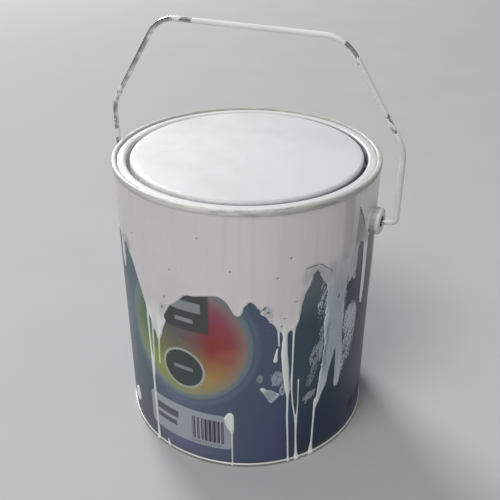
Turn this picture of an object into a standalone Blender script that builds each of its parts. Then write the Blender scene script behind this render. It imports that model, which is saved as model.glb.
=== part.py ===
"""A round lever-lid paint can with a wire bail, as separate solids in metres, +Z up.

The can stands on Z = 0 with its axis on Z. The bail turns about an axis along X.
Run it with blender --background --python part.py, or from Blender's text editor.
"""

import math

import bmesh
import bpy
from mathutils import Matrix, Vector

MM = 0.001

# Driving dimensions
CAN_HEIGHT = 190.5 * MM
SEAM_RADIUS = 84.7 * MM
BODY_RADIUS = 83.6 * MM
SHEET = 0.3 * MM
GAP = 0.3 * MM
TURNS = 48

# The double seams, alike at the top and the foot
SEAM_HEIGHT = 2.8 * MM
COMPOUND_THICKNESS = 0.35 * MM
HOOK_LENGTH = 0.8 * MM
SEAM_CHAMFER = 0.4 * MM
NECK_RISE = 1.2 * MM

# Base
BASE_PANEL_Z = 3.9 * MM
BASE_BEAD_RADIUS = 62.0 * MM
BASE_BEAD_WIDTH = 14.0 * MM
BASE_BEAD_DROP = 1.1 * MM

# Ring and lid
SHELF_DEPTH = 5.5 * MM
NECK_RADIUS = 77.1 * MM
NECK_LENGTH = 7.8 * MM
NECK_HEM = 1.7 * MM
PANEL_RADIUS = 73.5 * MM
PANEL_EDGE = 1.6 * MM
PANEL_DROP = 0.5 * MM
PLUG_DEPTH = 9.2 * MM
LID_CURL_DROP = 1.0 * MM
LID_CURL_RADIUS = 81.5 * MM
LID_CURL_TUCK = 1.2 * MM

# Label
LABEL_THICKNESS = 0.15 * MM
LABEL_OFFSET = 0.25 * MM
LABEL_BOTTOM = 3.2 * MM
LABEL_TOP = 186.6 * MM
LABEL_LAP_DEG = 8.0
LABEL_LAP_RISE = 0.35 * MM
LABEL_EAR_HOLE = 11.0 * MM

# Ears and bail
PIVOT_Z = 160.6 * MM
EAR_FACE = 90.8 * MM
EAR_BARREL = 8.2 * MM
EAR_FLANGE = 10.2 * MM
EAR_SHEET = 0.6 * MM
EAR_HOLE = 2.4 * MM
EAR_TURNS = 24
WIRE_RADIUS = 1.5 * MM
WIRE_SIDES = 10
WIRE_HEAD_RADIUS = 2.9 * MM
WIRE_HEAD_LENGTH = 1.6 * MM
WIRE_END = 86.4 * MM
WIRE_LEAVES_AXIS = 92.0 * MM

# The right half of the bail's centreline, as (across, above the pivot, bend radius)
BAIL_BENDS = (
    (99.3 * MM, 1.0 * MM, 4.5 * MM),
    (99.4 * MM, 47.6 * MM, 26.0 * MM),
    (60.7 * MM, 106.5 * MM, 23.0 * MM),
)
DEGREES_PER_BEND_STEP = 11.0

# Layers of the double seam, from the outside in, as the middle radius of each sheet
SEAMING_WALL = SEAM_RADIUS - SHEET / 2
BODY_HOOK = SEAMING_WALL - SHEET - GAP
END_HOOK = BODY_HOOK - SHEET - GAP
NECKED_WALL = END_HOOK - SHEET - GAP
CHUCK_WALL = NECKED_WALL - SHEET - GAP

COLOURS = {
    # name: (red, green, blue, roughness, metallic)
    "tinplate": (0.62, 0.62, 0.63, 0.35, 1.0),
    "lid_paint": (0.86, 0.86, 0.87, 0.35, 0.0),
    "ear_steel": (0.55, 0.55, 0.55, 0.4, 1.0),
    "wire_steel": (0.50, 0.50, 0.50, 0.35, 1.0),
    "label_paper": (0.09, 0.11, 0.17, 0.45, 0.0),
    "sealing_compound": (0.25, 0.27, 0.24, 0.8, 0.0),
}


def clear_scene():
    for thing in list(bpy.data.objects):
        bpy.data.objects.remove(thing, do_unlink=True)


def material(name):
    """The Principled material of this name, made on first use."""
    found = bpy.data.materials.get(name)
    if found:
        return found
    red, green, blue, roughness, metallic = COLOURS[name]
    made = bpy.data.materials.new(name)
    made.use_nodes = True
    shader = made.node_tree.nodes["Principled BSDF"]
    shader.inputs["Base Color"].default_value = (red, green, blue, 1.0)
    shader.inputs["Roughness"].default_value = roughness
    shader.inputs["Metallic"].default_value = metallic
    return made


def new_object(name, mesh_builder, material_name):
    """Turn a bmesh into a smooth-shaded object with sharp edges kept."""
    bmesh.ops.recalc_face_normals(mesh_builder, faces=mesh_builder.faces)
    mesh = bpy.data.meshes.new(name)
    mesh_builder.to_mesh(mesh)
    mesh_builder.free()
    mesh.materials.append(material(material_name))
    mesh.shade_smooth()
    mesh.set_sharp_from_angle(angle=math.radians(30))
    made = bpy.data.objects.new(name, mesh)
    bpy.context.collection.objects.link(made)
    return made


def chamfered(points, cut, keep=()):
    """Cut the corners of an open line back by up to cut, but not those whose places are in keep."""
    line = [Vector(point) for point in points]
    result = [line[0]]
    for index in range(1, len(line) - 1):
        before, corner, after = line[index - 1 : index + 2]
        reach = min(cut, 0.4 * (corner - before).length, 0.4 * (after - corner).length)
        if index in keep or reach <= 0:
            result.append(corner)
            continue
        result.append(corner + (before - corner).normalized() * reach)
        result.append(corner + (after - corner).normalized() * reach)
    result.append(line[-1])
    return result


def sheet_outline(centreline, thickness):
    """Both faces of a bent sheet whose middle follows an open (radius, height) line."""
    line = [Vector(point) for point in centreline]
    sides = [], []
    for index, point in enumerate(line):
        normals = []
        if index > 0:
            along = (point - line[index - 1]).normalized()
            normals.append(Vector((-along.y, along.x)))
        if index < len(line) - 1:
            along = (line[index + 1] - point).normalized()
            normals.append(Vector((-along.y, along.x)))
        middle = sum(normals, Vector((0, 0))).normalized()
        offset = middle * (thickness / 2 / middle.dot(normals[0]))
        sides[0].append(point + offset)
        sides[1].append(point - offset)
    return sides[0] + sides[1][::-1]


def turned(name, outline, material_name):
    """Spin a (radius, height) outline about Z. One that starts and ends on the axis is left open there."""
    builder = bmesh.new()
    corners = [builder.verts.new((max(radius, 0.0), 0, height)) for radius, height in outline]
    on_axis = outline[0][0] <= 0 and outline[-1][0] <= 0
    last = len(corners) - 1 if on_axis else len(corners)
    edges = [
        builder.edges.new((corners[index], corners[(index + 1) % len(corners)]))
        for index in range(last)
    ]
    bmesh.ops.spin(
        builder,
        geom=corners + edges,
        cent=(0, 0, 0),
        axis=(0, 0, 1),
        angle=math.tau,
        steps=TURNS,
        use_merge=True,
    )
    bmesh.ops.remove_doubles(builder, verts=builder.verts, dist=1e-7)
    return new_object(name, builder, material_name)


def at_top(points):
    """The same seam line turned upside down, for the top of the can."""
    return [(radius, CAN_HEIGHT - height) for radius, height in points]


def body_hook_line():
    """From the hook's free edge, round its fold, to the necked wall: heights from the seam's outer end."""
    fold = SHEET + GAP + COMPOUND_THICKNESS + GAP + SHEET / 2
    return [
        (BODY_HOOK, fold + HOOK_LENGTH),
        (BODY_HOOK, fold),
        (NECKED_WALL, fold),
        (NECKED_WALL, SEAM_HEIGHT),
        (BODY_RADIUS - SHEET / 2, SEAM_HEIGHT + NECK_RISE),
    ]


def end_hook_line():
    """From the end hook's free edge, round the seaming wall, to the foot of the chuck wall."""
    return [
        (END_HOOK, SEAM_HEIGHT - SHEET / 2 - HOOK_LENGTH),
        (END_HOOK, SEAM_HEIGHT - SHEET / 2),
        (SEAMING_WALL, SEAM_HEIGHT - SHEET / 2),
        (SEAMING_WALL, SHEET / 2),
        (CHUCK_WALL, SHEET / 2),
    ]


def make_body_shell():
    line = body_hook_line() + at_top(body_hook_line())[::-1]
    return turned("body_shell", sheet_outline(line, SHEET), "tinplate")


def make_base_end():
    bead_in = BASE_BEAD_RADIUS - BASE_BEAD_WIDTH / 2
    bead_out = BASE_BEAD_RADIUS + BASE_BEAD_WIDTH / 2
    low = BASE_PANEL_Z - BASE_BEAD_DROP
    panel = [
        (CHUCK_WALL, BASE_PANEL_Z),
        (bead_out, BASE_PANEL_Z),
        (bead_out - BASE_BEAD_DROP, low),
        (bead_in + BASE_BEAD_DROP, low),
        (bead_in, BASE_PANEL_Z),
        (0.0, BASE_PANEL_Z),
    ]
    seam = chamfered(end_hook_line() + panel[:1], SEAM_CHAMFER)
    line = panel[::-1] + seam[-2::-1]
    return turned("base_end", sheet_outline(line, SHEET), "tinplate")


def make_top_ring():
    shelf = CAN_HEIGHT - SHELF_DEPTH
    neck_foot = shelf - NECK_LENGTH
    inside = [
        (CHUCK_WALL, shelf),
        (NECK_RADIUS, shelf),
        (NECK_RADIUS, neck_foot),
        (NECK_RADIUS + NECK_HEM, neck_foot),
        (NECK_RADIUS + NECK_HEM, neck_foot + NECK_HEM),
    ]
    line = chamfered(at_top(end_hook_line()) + inside, SEAM_CHAMFER)
    return turned("top_ring", sheet_outline(line, SHEET), "tinplate")


def make_lever_lid():
    panel_z = CAN_HEIGHT - PANEL_DROP - SHEET / 2
    groove_z = CAN_HEIGHT - PLUG_DEPTH
    curl_z = CAN_HEIGHT - LID_CURL_DROP - SHEET / 2
    shelf_top = CAN_HEIGHT - SHELF_DEPTH + SHEET / 2
    plug = NECK_RADIUS - SHEET - GAP - 0.05 * MM
    groove = PANEL_RADIUS - SHEET / 2
    curl = LID_CURL_RADIUS - SHEET / 2
    curl_foot = shelf_top + GAP + SHEET / 2
    line = [
        (0.0, panel_z),
        (groove - PANEL_EDGE, panel_z),
        (groove, panel_z - PANEL_EDGE),
        (groove, groove_z),
        (plug, groove_z),
        (plug, curl_z - 1.6 * MM),
        (plug + 1.2 * MM, curl_z),
        (curl - 0.8 * MM, curl_z),
        (curl, curl_z - 1.0 * MM),
        (curl, curl_foot),
        (curl - LID_CURL_TUCK, curl_foot),
    ]
    line = chamfered(line, 0.35 * MM, keep=(1, 2, 5, 6, 7, 8))
    outline = sheet_outline(line, SHEET)
    return turned("lever_lid", outline, "lid_paint")


def make_compound(name, upside_down):
    """The sealing ring that lies between a seam's outer end and the body's fold."""
    low = SHEET + GAP
    high = low + COMPOUND_THICKNESS
    outline = [
        (NECKED_WALL, low),
        (BODY_HOOK, low),
        (BODY_HOOK, high),
        (NECKED_WALL, high),
    ]
    return turned(name, at_top(outline) if upside_down else outline, "sealing_compound")


def make_label():
    """A strip wound once round the body from its lap at the back, with round holes for the ears."""
    inner = BODY_RADIUS + LABEL_OFFSET
    start = math.radians(90)
    lap = math.radians(LABEL_LAP_DEG)
    rise = LABEL_LAP_RISE
    step = math.tau / TURNS
    stations = [(start + step * index, inner) for index in range(TURNS)]
    stations.append((start + math.tau - lap / 4, inner))
    stations.append((start + math.tau, inner + rise))
    stations.append((start + math.tau + lap / 2, inner + rise))
    stations.append((start + math.tau + lap, inner + rise))
    builder = bmesh.new()
    rows = []
    for angle, radius in stations:
        outward = Vector((math.cos(angle), math.sin(angle), 0))
        row = []
        for distance, height in (
            (radius, LABEL_BOTTOM),
            (radius + LABEL_THICKNESS, LABEL_BOTTOM),
            (radius + LABEL_THICKNESS, LABEL_TOP),
            (radius, LABEL_TOP),
        ):
            row.append(builder.verts.new(outward * distance + Vector((0, 0, height))))
        rows.append(row)
    for first, second in zip(rows, rows[1:]):
        for side in range(4):
            after = (side + 1) % 4
            builder.faces.new((first[side], second[side], second[after], first[after]))
    builder.faces.new(rows[0])
    builder.faces.new(rows[-1][::-1])
    label = new_object("label_wrap", builder, "label_paper")
    punch = bmesh.new()
    bmesh.ops.create_cone(
        punch,
        cap_ends=True,
        segments=EAR_TURNS,
        radius1=LABEL_EAR_HOLE,
        radius2=LABEL_EAR_HOLE,
        depth=4 * BODY_RADIUS,
        matrix=Matrix.Rotation(math.radians(90), 4, "Y"),
    )
    cutter = new_object("label_punch", punch, "label_paper")
    cutter.location = (0, 0, PIVOT_Z)
    cutter.hide_render = True
    cutter.display_type = "WIRE"
    cut = label.modifiers.new("ear_holes", "BOOLEAN")
    cut.operation = "DIFFERENCE"
    cut.solver = "EXACT"
    cut.object = cutter
    return label


def make_ear(name, side, pivot):
    """A pressed cup with a flange seated on the body: turned about X, its foot bent to the body's curve."""
    seat = BODY_RADIUS + GAP
    inner = EAR_BARREL - EAR_SHEET
    bend = 0.8 * MM
    # (distance from the ear's axis, distance from the can's axis, whether it follows the body's curve)
    outline = (
        (EAR_HOLE, EAR_FACE, False),
        (EAR_BARREL - 2.4 * MM, EAR_FACE, False),
        (EAR_BARREL - 0.9 * MM, EAR_FACE - 0.7 * MM, False),
        (EAR_BARREL, EAR_FACE - 2.3 * MM, False),
        (EAR_BARREL, seat + SHEET + bend, True),
        (EAR_BARREL + bend, seat + SHEET, True),
        (EAR_FLANGE, seat + SHEET, True),
        (EAR_FLANGE, seat, True),
        (inner, seat, True),
        (inner, EAR_FACE - 2.4 * MM, False),
        (inner - 2.0 * MM, EAR_FACE - EAR_SHEET, False),
        (EAR_HOLE, EAR_FACE - EAR_SHEET, False),
    )
    builder = bmesh.new()
    rings = []
    for index in range(EAR_TURNS):
        angle = math.tau * index / EAR_TURNS
        ring = []
        for reach, out, seated in outline:
            across = reach * math.cos(angle)
            if seated:
                out = math.sqrt(out**2 - across**2)
            ring.append(builder.verts.new((side * out, across, reach * math.sin(angle))))
        rings.append(ring)
    for first, second in zip(rings, rings[1:] + rings[:1]):
        for corner in range(len(outline)):
            after = (corner + 1) % len(outline)
            builder.faces.new((first[corner], second[corner], second[after], first[after]))
    ear = new_object(name, builder, "ear_steel")
    ear.location = pivot
    return ear


def bent_line(points):
    """An open line whose (across, up, bend radius) corners are arcs, with evenly turned steps."""
    result = [Vector(points[0][:2])]
    for index in range(1, len(points) - 1):
        before = Vector(points[index - 1][:2])
        corner = Vector(points[index][:2])
        after = Vector(points[index + 1][:2])
        radius = points[index][2]
        arriving = (corner - before).normalized()
        leaving = (after - corner).normalized()
        turn = arriving.angle_signed(leaving) * -1
        inset = radius * math.tan(abs(turn) / 2)
        centre = corner - arriving * inset + Vector((-arriving.y, arriving.x)) * math.copysign(radius, turn)
        spoke = corner - arriving * inset - centre
        steps = max(1, math.ceil(abs(math.degrees(turn)) / DEGREES_PER_BEND_STEP))
        for step in range(steps + 1):
            result.append(centre + Matrix.Rotation(turn * step / steps, 2) @ spoke)
    result.append(Vector(points[-1][:2]))
    return result


def make_bail(pivot):
    """Round wire swept along a line in the XZ plane, with an upset head on each end."""
    right = [(WIRE_END, 0.0, 0.0), (WIRE_LEAVES_AXIS, 0.0, 3.0 * MM), *BAIL_BENDS]
    left = [(-across, up, radius) for across, up, radius in reversed(right)]
    middle = bent_line(right + left)
    head_inside = WIRE_END + WIRE_HEAD_LENGTH
    heads = [(Vector((WIRE_END, 0)), WIRE_HEAD_RADIUS), (Vector((head_inside, 0)), WIRE_HEAD_RADIUS)]
    stations = heads + [(Vector((head_inside, 0)), WIRE_RADIUS)]
    stations += [(point, WIRE_RADIUS) for point in middle[1:-1]]
    stations += [(Vector((-point.x, point.y)), radius) for point, radius in reversed(stations[:3])]
    builder = bmesh.new()
    rings = []
    for index, (point, radius) in enumerate(stations):
        before = stations[max(index - 1, 0)][0]
        after = stations[min(index + 1, len(stations) - 1)][0]
        along = (after - before).normalized()
        sideways = Vector((along.y, -along.x))
        ring = []
        for side in range(WIRE_SIDES):
            angle = math.tau * side / WIRE_SIDES
            place = point + sideways * (radius * math.cos(angle))
            ring.append(builder.verts.new((place.x, radius * math.sin(angle), place.y)))
        rings.append(ring)
    for first, second in zip(rings, rings[1:]):
        for side in range(WIRE_SIDES):
            after = (side + 1) % WIRE_SIDES
            builder.faces.new((first[side], first[after], second[after], second[side]))
    builder.faces.new(rings[0][::-1])
    builder.faces.new(rings[-1])
    bail = new_object("bail_wire", builder, "wire_steel")
    bail.parent = pivot
    return bail


def main():
    clear_scene()
    make_body_shell()
    make_base_end()
    make_top_ring()
    make_lever_lid()
    make_compound("base_seam_compound", upside_down=False)
    make_compound("top_seam_compound", upside_down=True)
    make_label()
    make_ear("ear_right", 1, (0, 0, PIVOT_Z))
    make_ear("ear_left", -1, (0, 0, PIVOT_Z))
    pivot = bpy.data.objects.new("bail_pivot", None)
    pivot.location = (0, 0, PIVOT_Z)
    bpy.context.collection.objects.link(pivot)
    make_bail(pivot)


main()
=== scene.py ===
"""The looks of a used paint can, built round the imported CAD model.

Fine turned and pressed pieces stand for the CAD solids. The dried white paint is real geometry:
films with rounded edges, tongues and drips on the can, the lid and the bail. Lengths inside the
builders are in millimetres and angles in degrees; a mesh is written in metres.
"""

import math

import bmesh
import bpy
import numpy as np
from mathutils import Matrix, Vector, kdtree


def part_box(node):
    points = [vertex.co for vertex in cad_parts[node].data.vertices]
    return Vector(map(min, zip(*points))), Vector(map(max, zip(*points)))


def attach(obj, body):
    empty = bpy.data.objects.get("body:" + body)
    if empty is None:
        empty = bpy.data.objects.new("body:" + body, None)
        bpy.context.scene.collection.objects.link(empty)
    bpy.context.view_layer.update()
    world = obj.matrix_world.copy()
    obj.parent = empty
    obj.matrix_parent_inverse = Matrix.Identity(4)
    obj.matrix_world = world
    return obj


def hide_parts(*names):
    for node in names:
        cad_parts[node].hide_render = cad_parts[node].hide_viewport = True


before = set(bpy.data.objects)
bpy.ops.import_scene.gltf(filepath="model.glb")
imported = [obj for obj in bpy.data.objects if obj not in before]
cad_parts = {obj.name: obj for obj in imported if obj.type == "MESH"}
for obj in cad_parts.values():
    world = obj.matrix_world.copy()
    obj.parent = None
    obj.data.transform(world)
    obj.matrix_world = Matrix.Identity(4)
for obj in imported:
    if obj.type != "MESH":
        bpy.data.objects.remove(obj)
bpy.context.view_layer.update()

MM = 0.001

# ---- Measures: places come from the frame, and the sheet metal's details repeat the design's ----


def span(node):
    """A node's lowest and highest corner, in mm."""
    low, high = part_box(node)
    return low / MM, high / MM


_, ring_high = span("top_ring")
label_low, label_high = span("label_wrap")
ear_low, ear_high = span("ear_right")

CAN_HEIGHT = ring_high.z
SEAM_RADIUS = ring_high.x
LABEL_RADIUS = label_high.x
LABEL_LOW = label_low.z
LABEL_HIGH = label_high.z
EAR_FACE = ear_high.x
EAR_FLANGE = (ear_high.z - ear_low.z) / 2
PIVOT_Z = (ear_high.z + ear_low.z) / 2

SHEET = 0.3
GAP = 0.3
SEAM_HEIGHT = 2.8
COMPOUND = 0.35
HOOK_LENGTH = 0.8
NECK_RISE = 1.2
BODY_RADIUS = 83.6

BASE_PANEL_Z = 3.9
BASE_BEAD_RADIUS = 62.0
BASE_BEAD_WIDTH = 14.0
BASE_BEAD_DROP = 1.1

SHELF_DEPTH = 5.5
NECK_RADIUS = 77.1
NECK_LENGTH = 7.8
NECK_HEM = 1.7
PANEL_RADIUS = 73.5
PANEL_EDGE = 1.6
PANEL_DROP = 0.5
PLUG_DEPTH = 9.2
LID_CURL_DROP = 1.0
LID_CURL_RADIUS = 81.5
LID_CURL_TUCK = 1.2

EAR_SEAT = BODY_RADIUS + GAP
EAR_BARREL = 8.2
EAR_SHEET = 0.6
EAR_HOLE = 2.4
WIRE_RADIUS = 1.5
WIRE_HEAD_RADIUS = 2.9
WIRE_HEAD_LENGTH = 1.6
WIRE_END = 86.4
WIRE_LEAVES_AXIS = 92.0
# The right half of the bail's centreline: across, above the pivot, bend radius
BAIL_BENDS = ((99.3, 1.0, 4.5), (99.4, 47.6, 26.0), (60.7, 106.5, 23.0))

LABEL_THICKNESS = 0.15
LABEL_EAR_HOLE = 11.0
LAP_START = 90.0
LAP_DEG = 8.0
PAINT_EAR_GAP = 0.15

SEAMING_WALL = SEAM_RADIUS - SHEET / 2
BODY_HOOK = SEAMING_WALL - SHEET - GAP
END_HOOK = BODY_HOOK - SHEET - GAP
NECKED_WALL = END_HOOK - SHEET - GAP
CHUCK_WALL = NECKED_WALL - SHEET - GAP

# The turn of the wall that faces the camera, and the length of a degree of arc on the wall
FRONT = -63.76
ARC = math.radians(LABEL_RADIUS)

# ---- Shape builders ----


def as_object(name, points, faces, sharp=35.0):
    """A mesh object from points in mm, smooth where faces meet within sharp degrees."""
    mesh = bpy.data.meshes.new(name)
    mesh.from_pydata((np.asarray(points, float) * MM).tolist(), [], faces)
    mesh.validate()
    builder = bmesh.new()
    builder.from_mesh(mesh)
    bmesh.ops.remove_doubles(builder, verts=builder.verts, dist=1e-7)
    builder.to_mesh(mesh)
    builder.free()
    mesh.shade_smooth()
    mesh.set_sharp_from_angle(angle=math.radians(sharp))
    made = bpy.data.objects.new(name, mesh)
    bpy.context.scene.collection.objects.link(made)
    return made


def ring_faces(rings, count, join_last=True, close=True, flip=False):
    """Quads between rings of count points; the last ring may join the first, and each ring may close."""
    faces = []
    for ring in range(rings if join_last else rings - 1):
        here, there = ring * count, (ring + 1) % rings * count
        for index in range(count if close else count - 1):
            after = (index + 1) % count
            face = (here + index, there + index, there + after, here + after)
            faces.append(face[::-1] if flip else face)
    return faces


def unit(vectors):
    return vectors / np.linalg.norm(vectors, axis=1)[:, None]


def arc_lengths(line):
    """How far along a line each of its points is."""
    return np.concatenate([[0.0], np.cumsum(np.linalg.norm(np.diff(line, axis=0), axis=1))])


def sampled(at, along, line):
    """The points of a line at some distances along it."""
    return np.stack([np.interp(at, along, line[:, axis]) for axis in (0, 1)], 1)


def rounded(points, step=15.0):
    """An open line through (across, up, corner radius) points, whose corners become arcs."""
    line = [np.array(points[0][:2], float)]
    for before, corner, after in zip(points, points[1:], points[2:]):
        here = np.array(corner[:2], float)
        back = np.array(before[:2], float) - here
        ahead = np.array(after[:2], float) - here
        back /= np.linalg.norm(back)
        ahead /= np.linalg.norm(ahead)
        half = math.acos(np.clip(back @ ahead, -1, 1)) / 2
        swing = math.pi - 2 * half
        radius = corner[2] if len(corner) > 2 else 0.0
        if radius <= 0 or swing < 1e-3:
            line.append(here)
            continue
        centre = here + (back + ahead) / np.linalg.norm(back + ahead) * radius / math.sin(half)
        start = here + back * radius / math.tan(half) - centre
        end = here + ahead * radius / math.tan(half) - centre
        steps = max(2, math.ceil(math.degrees(swing) / step))
        for index in range(steps + 1):
            part = index / steps
            spoke = math.sin((1 - part) * swing) * start + math.sin(part * swing) * end
            line.append(centre + spoke / math.sin(swing))
    line.append(np.array(points[-1][:2], float))
    return np.array(line)


def both_faces(line, thickness):
    """The outline of a bent sheet whose middle follows the line."""
    steps = unit(np.diff(line, axis=0))
    sideways = np.stack([-steps[:, 1], steps[:, 0]], 1)
    first = np.vstack([sideways[:1], sideways])
    middle = unit(first + np.vstack([sideways, sideways[-1:]]))
    offset = middle * (thickness / 2 / np.sum(middle * first, 1))[:, None]
    return np.vstack([line + offset, (line - offset)[::-1]])


def turned(name, outline, segments=240):
    """Turn an outline of (radius, height) about the can's axis. One that ends on the axis is open there."""
    radius, height = np.maximum(outline, [0.0, -np.inf]).T
    on_axis = radius[0] < 1e-6 and radius[-1] < 1e-6
    turns = np.arange(segments) * math.tau / segments
    levels = np.tile(height, (segments, 1))
    points = np.stack([np.outer(np.cos(turns), radius), np.outer(np.sin(turns), radius), levels], -1)
    area = np.sum(radius * np.roll(height, -1) - np.roll(radius, -1) * height)
    faces = ring_faces(segments, len(radius), close=not on_axis, flip=area <= 0)
    return as_object(name, points.reshape(-1, 3), faces)


def spread(values, longest):
    """The same rising values, with more between any two that are further apart than longest."""
    result = [values[0]]
    for low, high in zip(values, values[1:]):
        count = max(1, math.ceil((high - low) / longest - 1e-6))
        result += [low + (high - low) * (index + 1) / count for index in range(count)]
    return np.array(result)


def round_the_axis(line, start):
    """How to place a film on a turned surface: its arc lengths, and place(turn, along, height off it)."""
    line = np.asarray(line, float)
    along = start + arc_lengths(line)
    fine = np.arange(along[0], along[-1], 0.05)
    tangent = np.gradient(sampled(fine, along, line), axis=0)
    window = 5
    padded = np.pad(tangent, ((window // 2, window // 2), (0, 0)), "edge")
    smooth = [np.convolve(padded[:, axis], np.ones(window) / window, "valid") for axis in (0, 1)]
    normal = unit(np.stack([smooth[1], -smooth[0]], 1))

    def place(turn, distance, height):
        out = unit(sampled(distance, fine, normal))
        radius, level = (sampled(distance, along, line) + out * height[:, None]).T
        turn = np.radians(turn)
        return np.stack([radius * np.cos(turn), radius * np.sin(turn), level], 1)

    return along, place


def film(name, columns, rows, place, depth, rise, thin=None, loops=(0.0, 0.25, 0.8), lift=0.02):
    """A closed film on the part of a surface where depth(u, v), the distance in from its edge, is above 0.

    columns are angles in degrees that close round 360, and rows are distances. The film's edge and
    the loops beside it follow the depth exactly, whatever the grid. rise(u, v, depth) is its height.
    """
    wide, tall = len(columns), len(rows)
    grid_u, grid_v = np.meshgrid(columns, rows)
    us, vs, ds = (grid.ravel().tolist() for grid in (grid_u, grid_v, depth(grid_u, grid_v)))
    left = np.arange(wide)
    right = (left + 1) % wide
    lower = np.arange(tall - 1)[:, None] * wide
    cells = np.stack([lower + left, lower + right, lower + wide + right, lower + wide + left], -1)
    cells = cells.reshape(-1, 4)
    inside = np.array(ds)[cells]
    whole = inside.min(1) >= loops[-1]
    edge = (inside.max(1) > loops[0]) & ~whole
    cuts = {}

    def cut(one, other, level):
        """The point on the line from one to other that lies at this depth."""
        key = (min(one, other), max(one, other), level)
        if key not in cuts:
            share = (ds[one] - level) / (ds[one] - ds[other])
            us.append(us[one] + (near_turn(us[other], us[one]) - us[one]) * share)
            vs.append(vs[one] + (vs[other] - vs[one]) * share)
            ds.append(level)
            cuts[key] = len(us) - 1
        return cuts[key]

    def parted(face, level):
        """The parts of a face outside and inside this depth."""
        outer, inner = [], []
        for one, other in zip(face, face[1:] + face[:1]):
            if ds[one] <= level:
                outer.append(one)
            if ds[one] >= level:
                inner.append(one)
            if (ds[one] - level) * (ds[other] - level) < 0:
                middle = cut(one, other, level)
                outer.append(middle)
                inner.append(middle)
        return outer, inner

    faces = cells[whole].tolist()
    for cell in cells[edge].tolist():
        for work in (cell[:3], [cell[0], cell[2], cell[3]]):
            for level in loops:
                outer, work = parted(work, level)
                if level > loops[0] and len(outer) > 2:
                    faces.append(outer)
                if len(work) < 3:
                    break
            else:
                faces.append(work)
    faces = [face for face in faces if max(ds[corner] for corner in face) > 0]
    used = sorted({corner for face in faces for corner in face})
    renumber = dict(zip(used, range(len(used))))
    u, v, d = (np.array(values)[used] for values in (us, vs, ds))
    above = d > 1e-9
    front = place(u, v, np.where(above, rise(u, v, d), 0.0) + lift)
    behind = place(u[above], v[above], np.full(np.sum(above), lift))
    back = np.arange(len(used))
    back[above] = len(used) + np.arange(len(behind))
    front_faces = [[renumber[corner] for corner in face] for face in faces]
    back_faces = [[int(back[corner]) for corner in reversed(face)] for face in front_faces]
    made = as_object(name, np.vstack([front, behind]), front_faces + back_faces, 62.0)
    if thin is not None:
        # The few corners that have merged leave the values after them some places off, and the
        # last ones are cut off: that is how the coat was matched to the photo
        layer = made.data.attributes.new("thin", "FLOAT", "POINT")
        everywhere = np.concatenate([thin(u, v), thin(u[above], v[above])])
        layer.data.foreach_set("value", everywhere.astype(np.float32)[: len(made.data.vertices)])
    return made


def smoothstep(part):
    return part * part * (3 - 2 * part)


NOISE_ROWS = 997
NOISE_START = 400.0


def ripple(u, v, across, along, seed):
    """Smooth noise from -1 to 1 in cells of across degrees by along mm, closed round 360 degrees."""
    turns = max(3, round(360.0 / across))
    table = np.random.default_rng(seed).uniform(-1, 1, (turns, NOISE_ROWS))
    x = np.asarray(u) / 360.0 * turns
    y = np.asarray(v) / along + NOISE_START
    low_x, low_y = np.floor(x).astype(int), np.floor(y).astype(int)
    part_x, part_y = smoothstep(x - low_x), smoothstep(y - low_y)
    total = 0.0
    for dx, share_x in ((0, 1 - part_x), (1, part_x)):
        for dy, share_y in ((0, 1 - part_y), (1, part_y)):
            total = total + table[(low_x + dx) % turns, (low_y + dy) % NOISE_ROWS] * share_x * share_y
    return total


# ---- Depth fields: how far a point of the wall lies inside an outline, in mm ----

# Beyond this distance from an outline its exact depth doesn't matter, and is given as DEEP
FAR = 6.0
DEEP = 50.0


def near_turn(u, middle):
    """Angles moved by whole turns to lie within half a turn of the middle."""
    return u - 360.0 * np.round((u - middle) / 360.0)


def curve_through(points, closed):
    """Points 0.3 mm apart on a smooth curve through (degrees, mm) points, in mm of arc and of height."""
    nodes = np.array(points, float) * [ARC, 1.0]
    turn = np.array([0.0 if closed else 360.0 * ARC, 0.0])
    nodes = np.vstack([nodes[-1:] - turn, nodes, nodes[:2] + turn])
    result = []
    for p, q, r, s in zip(nodes, nodes[1:], nodes[2:], nodes[3:]):
        reach = np.linalg.norm(r - q)
        before = (r - p) / max(np.linalg.norm(q - p) + reach, 1e-6) * reach
        after = (s - q) / max(np.linalg.norm(s - r) + reach, 1e-6) * reach
        count = max(2, math.ceil(reach / 0.3))
        t = (np.arange(count) / count)[:, None]
        bend = (t**3 - 2 * t**2 + t) * before + (t**3 - t**2) * after
        result.append(q + (r - q) * smoothstep(t) + bend)
    return np.vstack([*result, nodes[-2:-1]])


def distance_to(curve, x, y):
    """The distance from each point to a finely sampled curve."""
    tree = kdtree.KDTree(len(curve))
    for index, (across, up) in enumerate(curve):
        tree.insert((across, up, 0.0), index)
    tree.balance()
    nearest = np.array([tree.find((a, b, 0.0))[1] for a, b in zip(x, y)], int)
    best = np.full(len(x), 1e9)
    here = np.stack([x, y], 1)
    for shift in (-1, 0):
        start = (nearest + shift) % (len(curve) - 1)
        run = curve[start + 1] - curve[start]
        size = np.maximum(np.sum(run * run, 1), 1e-12)
        part = np.clip(np.sum((here - curve[start]) * run, 1) / size, 0, 1)
        best = np.minimum(best, np.linalg.norm(here - curve[start] - run * part[:, None], axis=1))
    return best


def crossings_above(curve, x, y):
    """How many times the curve crosses the line straight up from each point."""
    starts, ends = curve[:-1], curve[1:]
    columns, place = np.unique(x, return_inverse=True)
    count = np.zeros(len(x), int)
    order = np.argsort(place, kind="stable")
    bounds = np.searchsorted(place[order], np.arange(len(columns) + 1))
    for index, column in enumerate(columns):
        hit = (starts[:, 0] <= column) != (ends[:, 0] <= column)
        first, run = starts[hit], ends[hit] - starts[hit]
        level = first[:, 1] + run[:, 1] * (column - first[:, 0]) / run[:, 0]
        members = order[bounds[index] : bounds[index + 1]]
        count[members] = np.sum(level[None, :] > y[members][:, None], 1)
    return count


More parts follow.
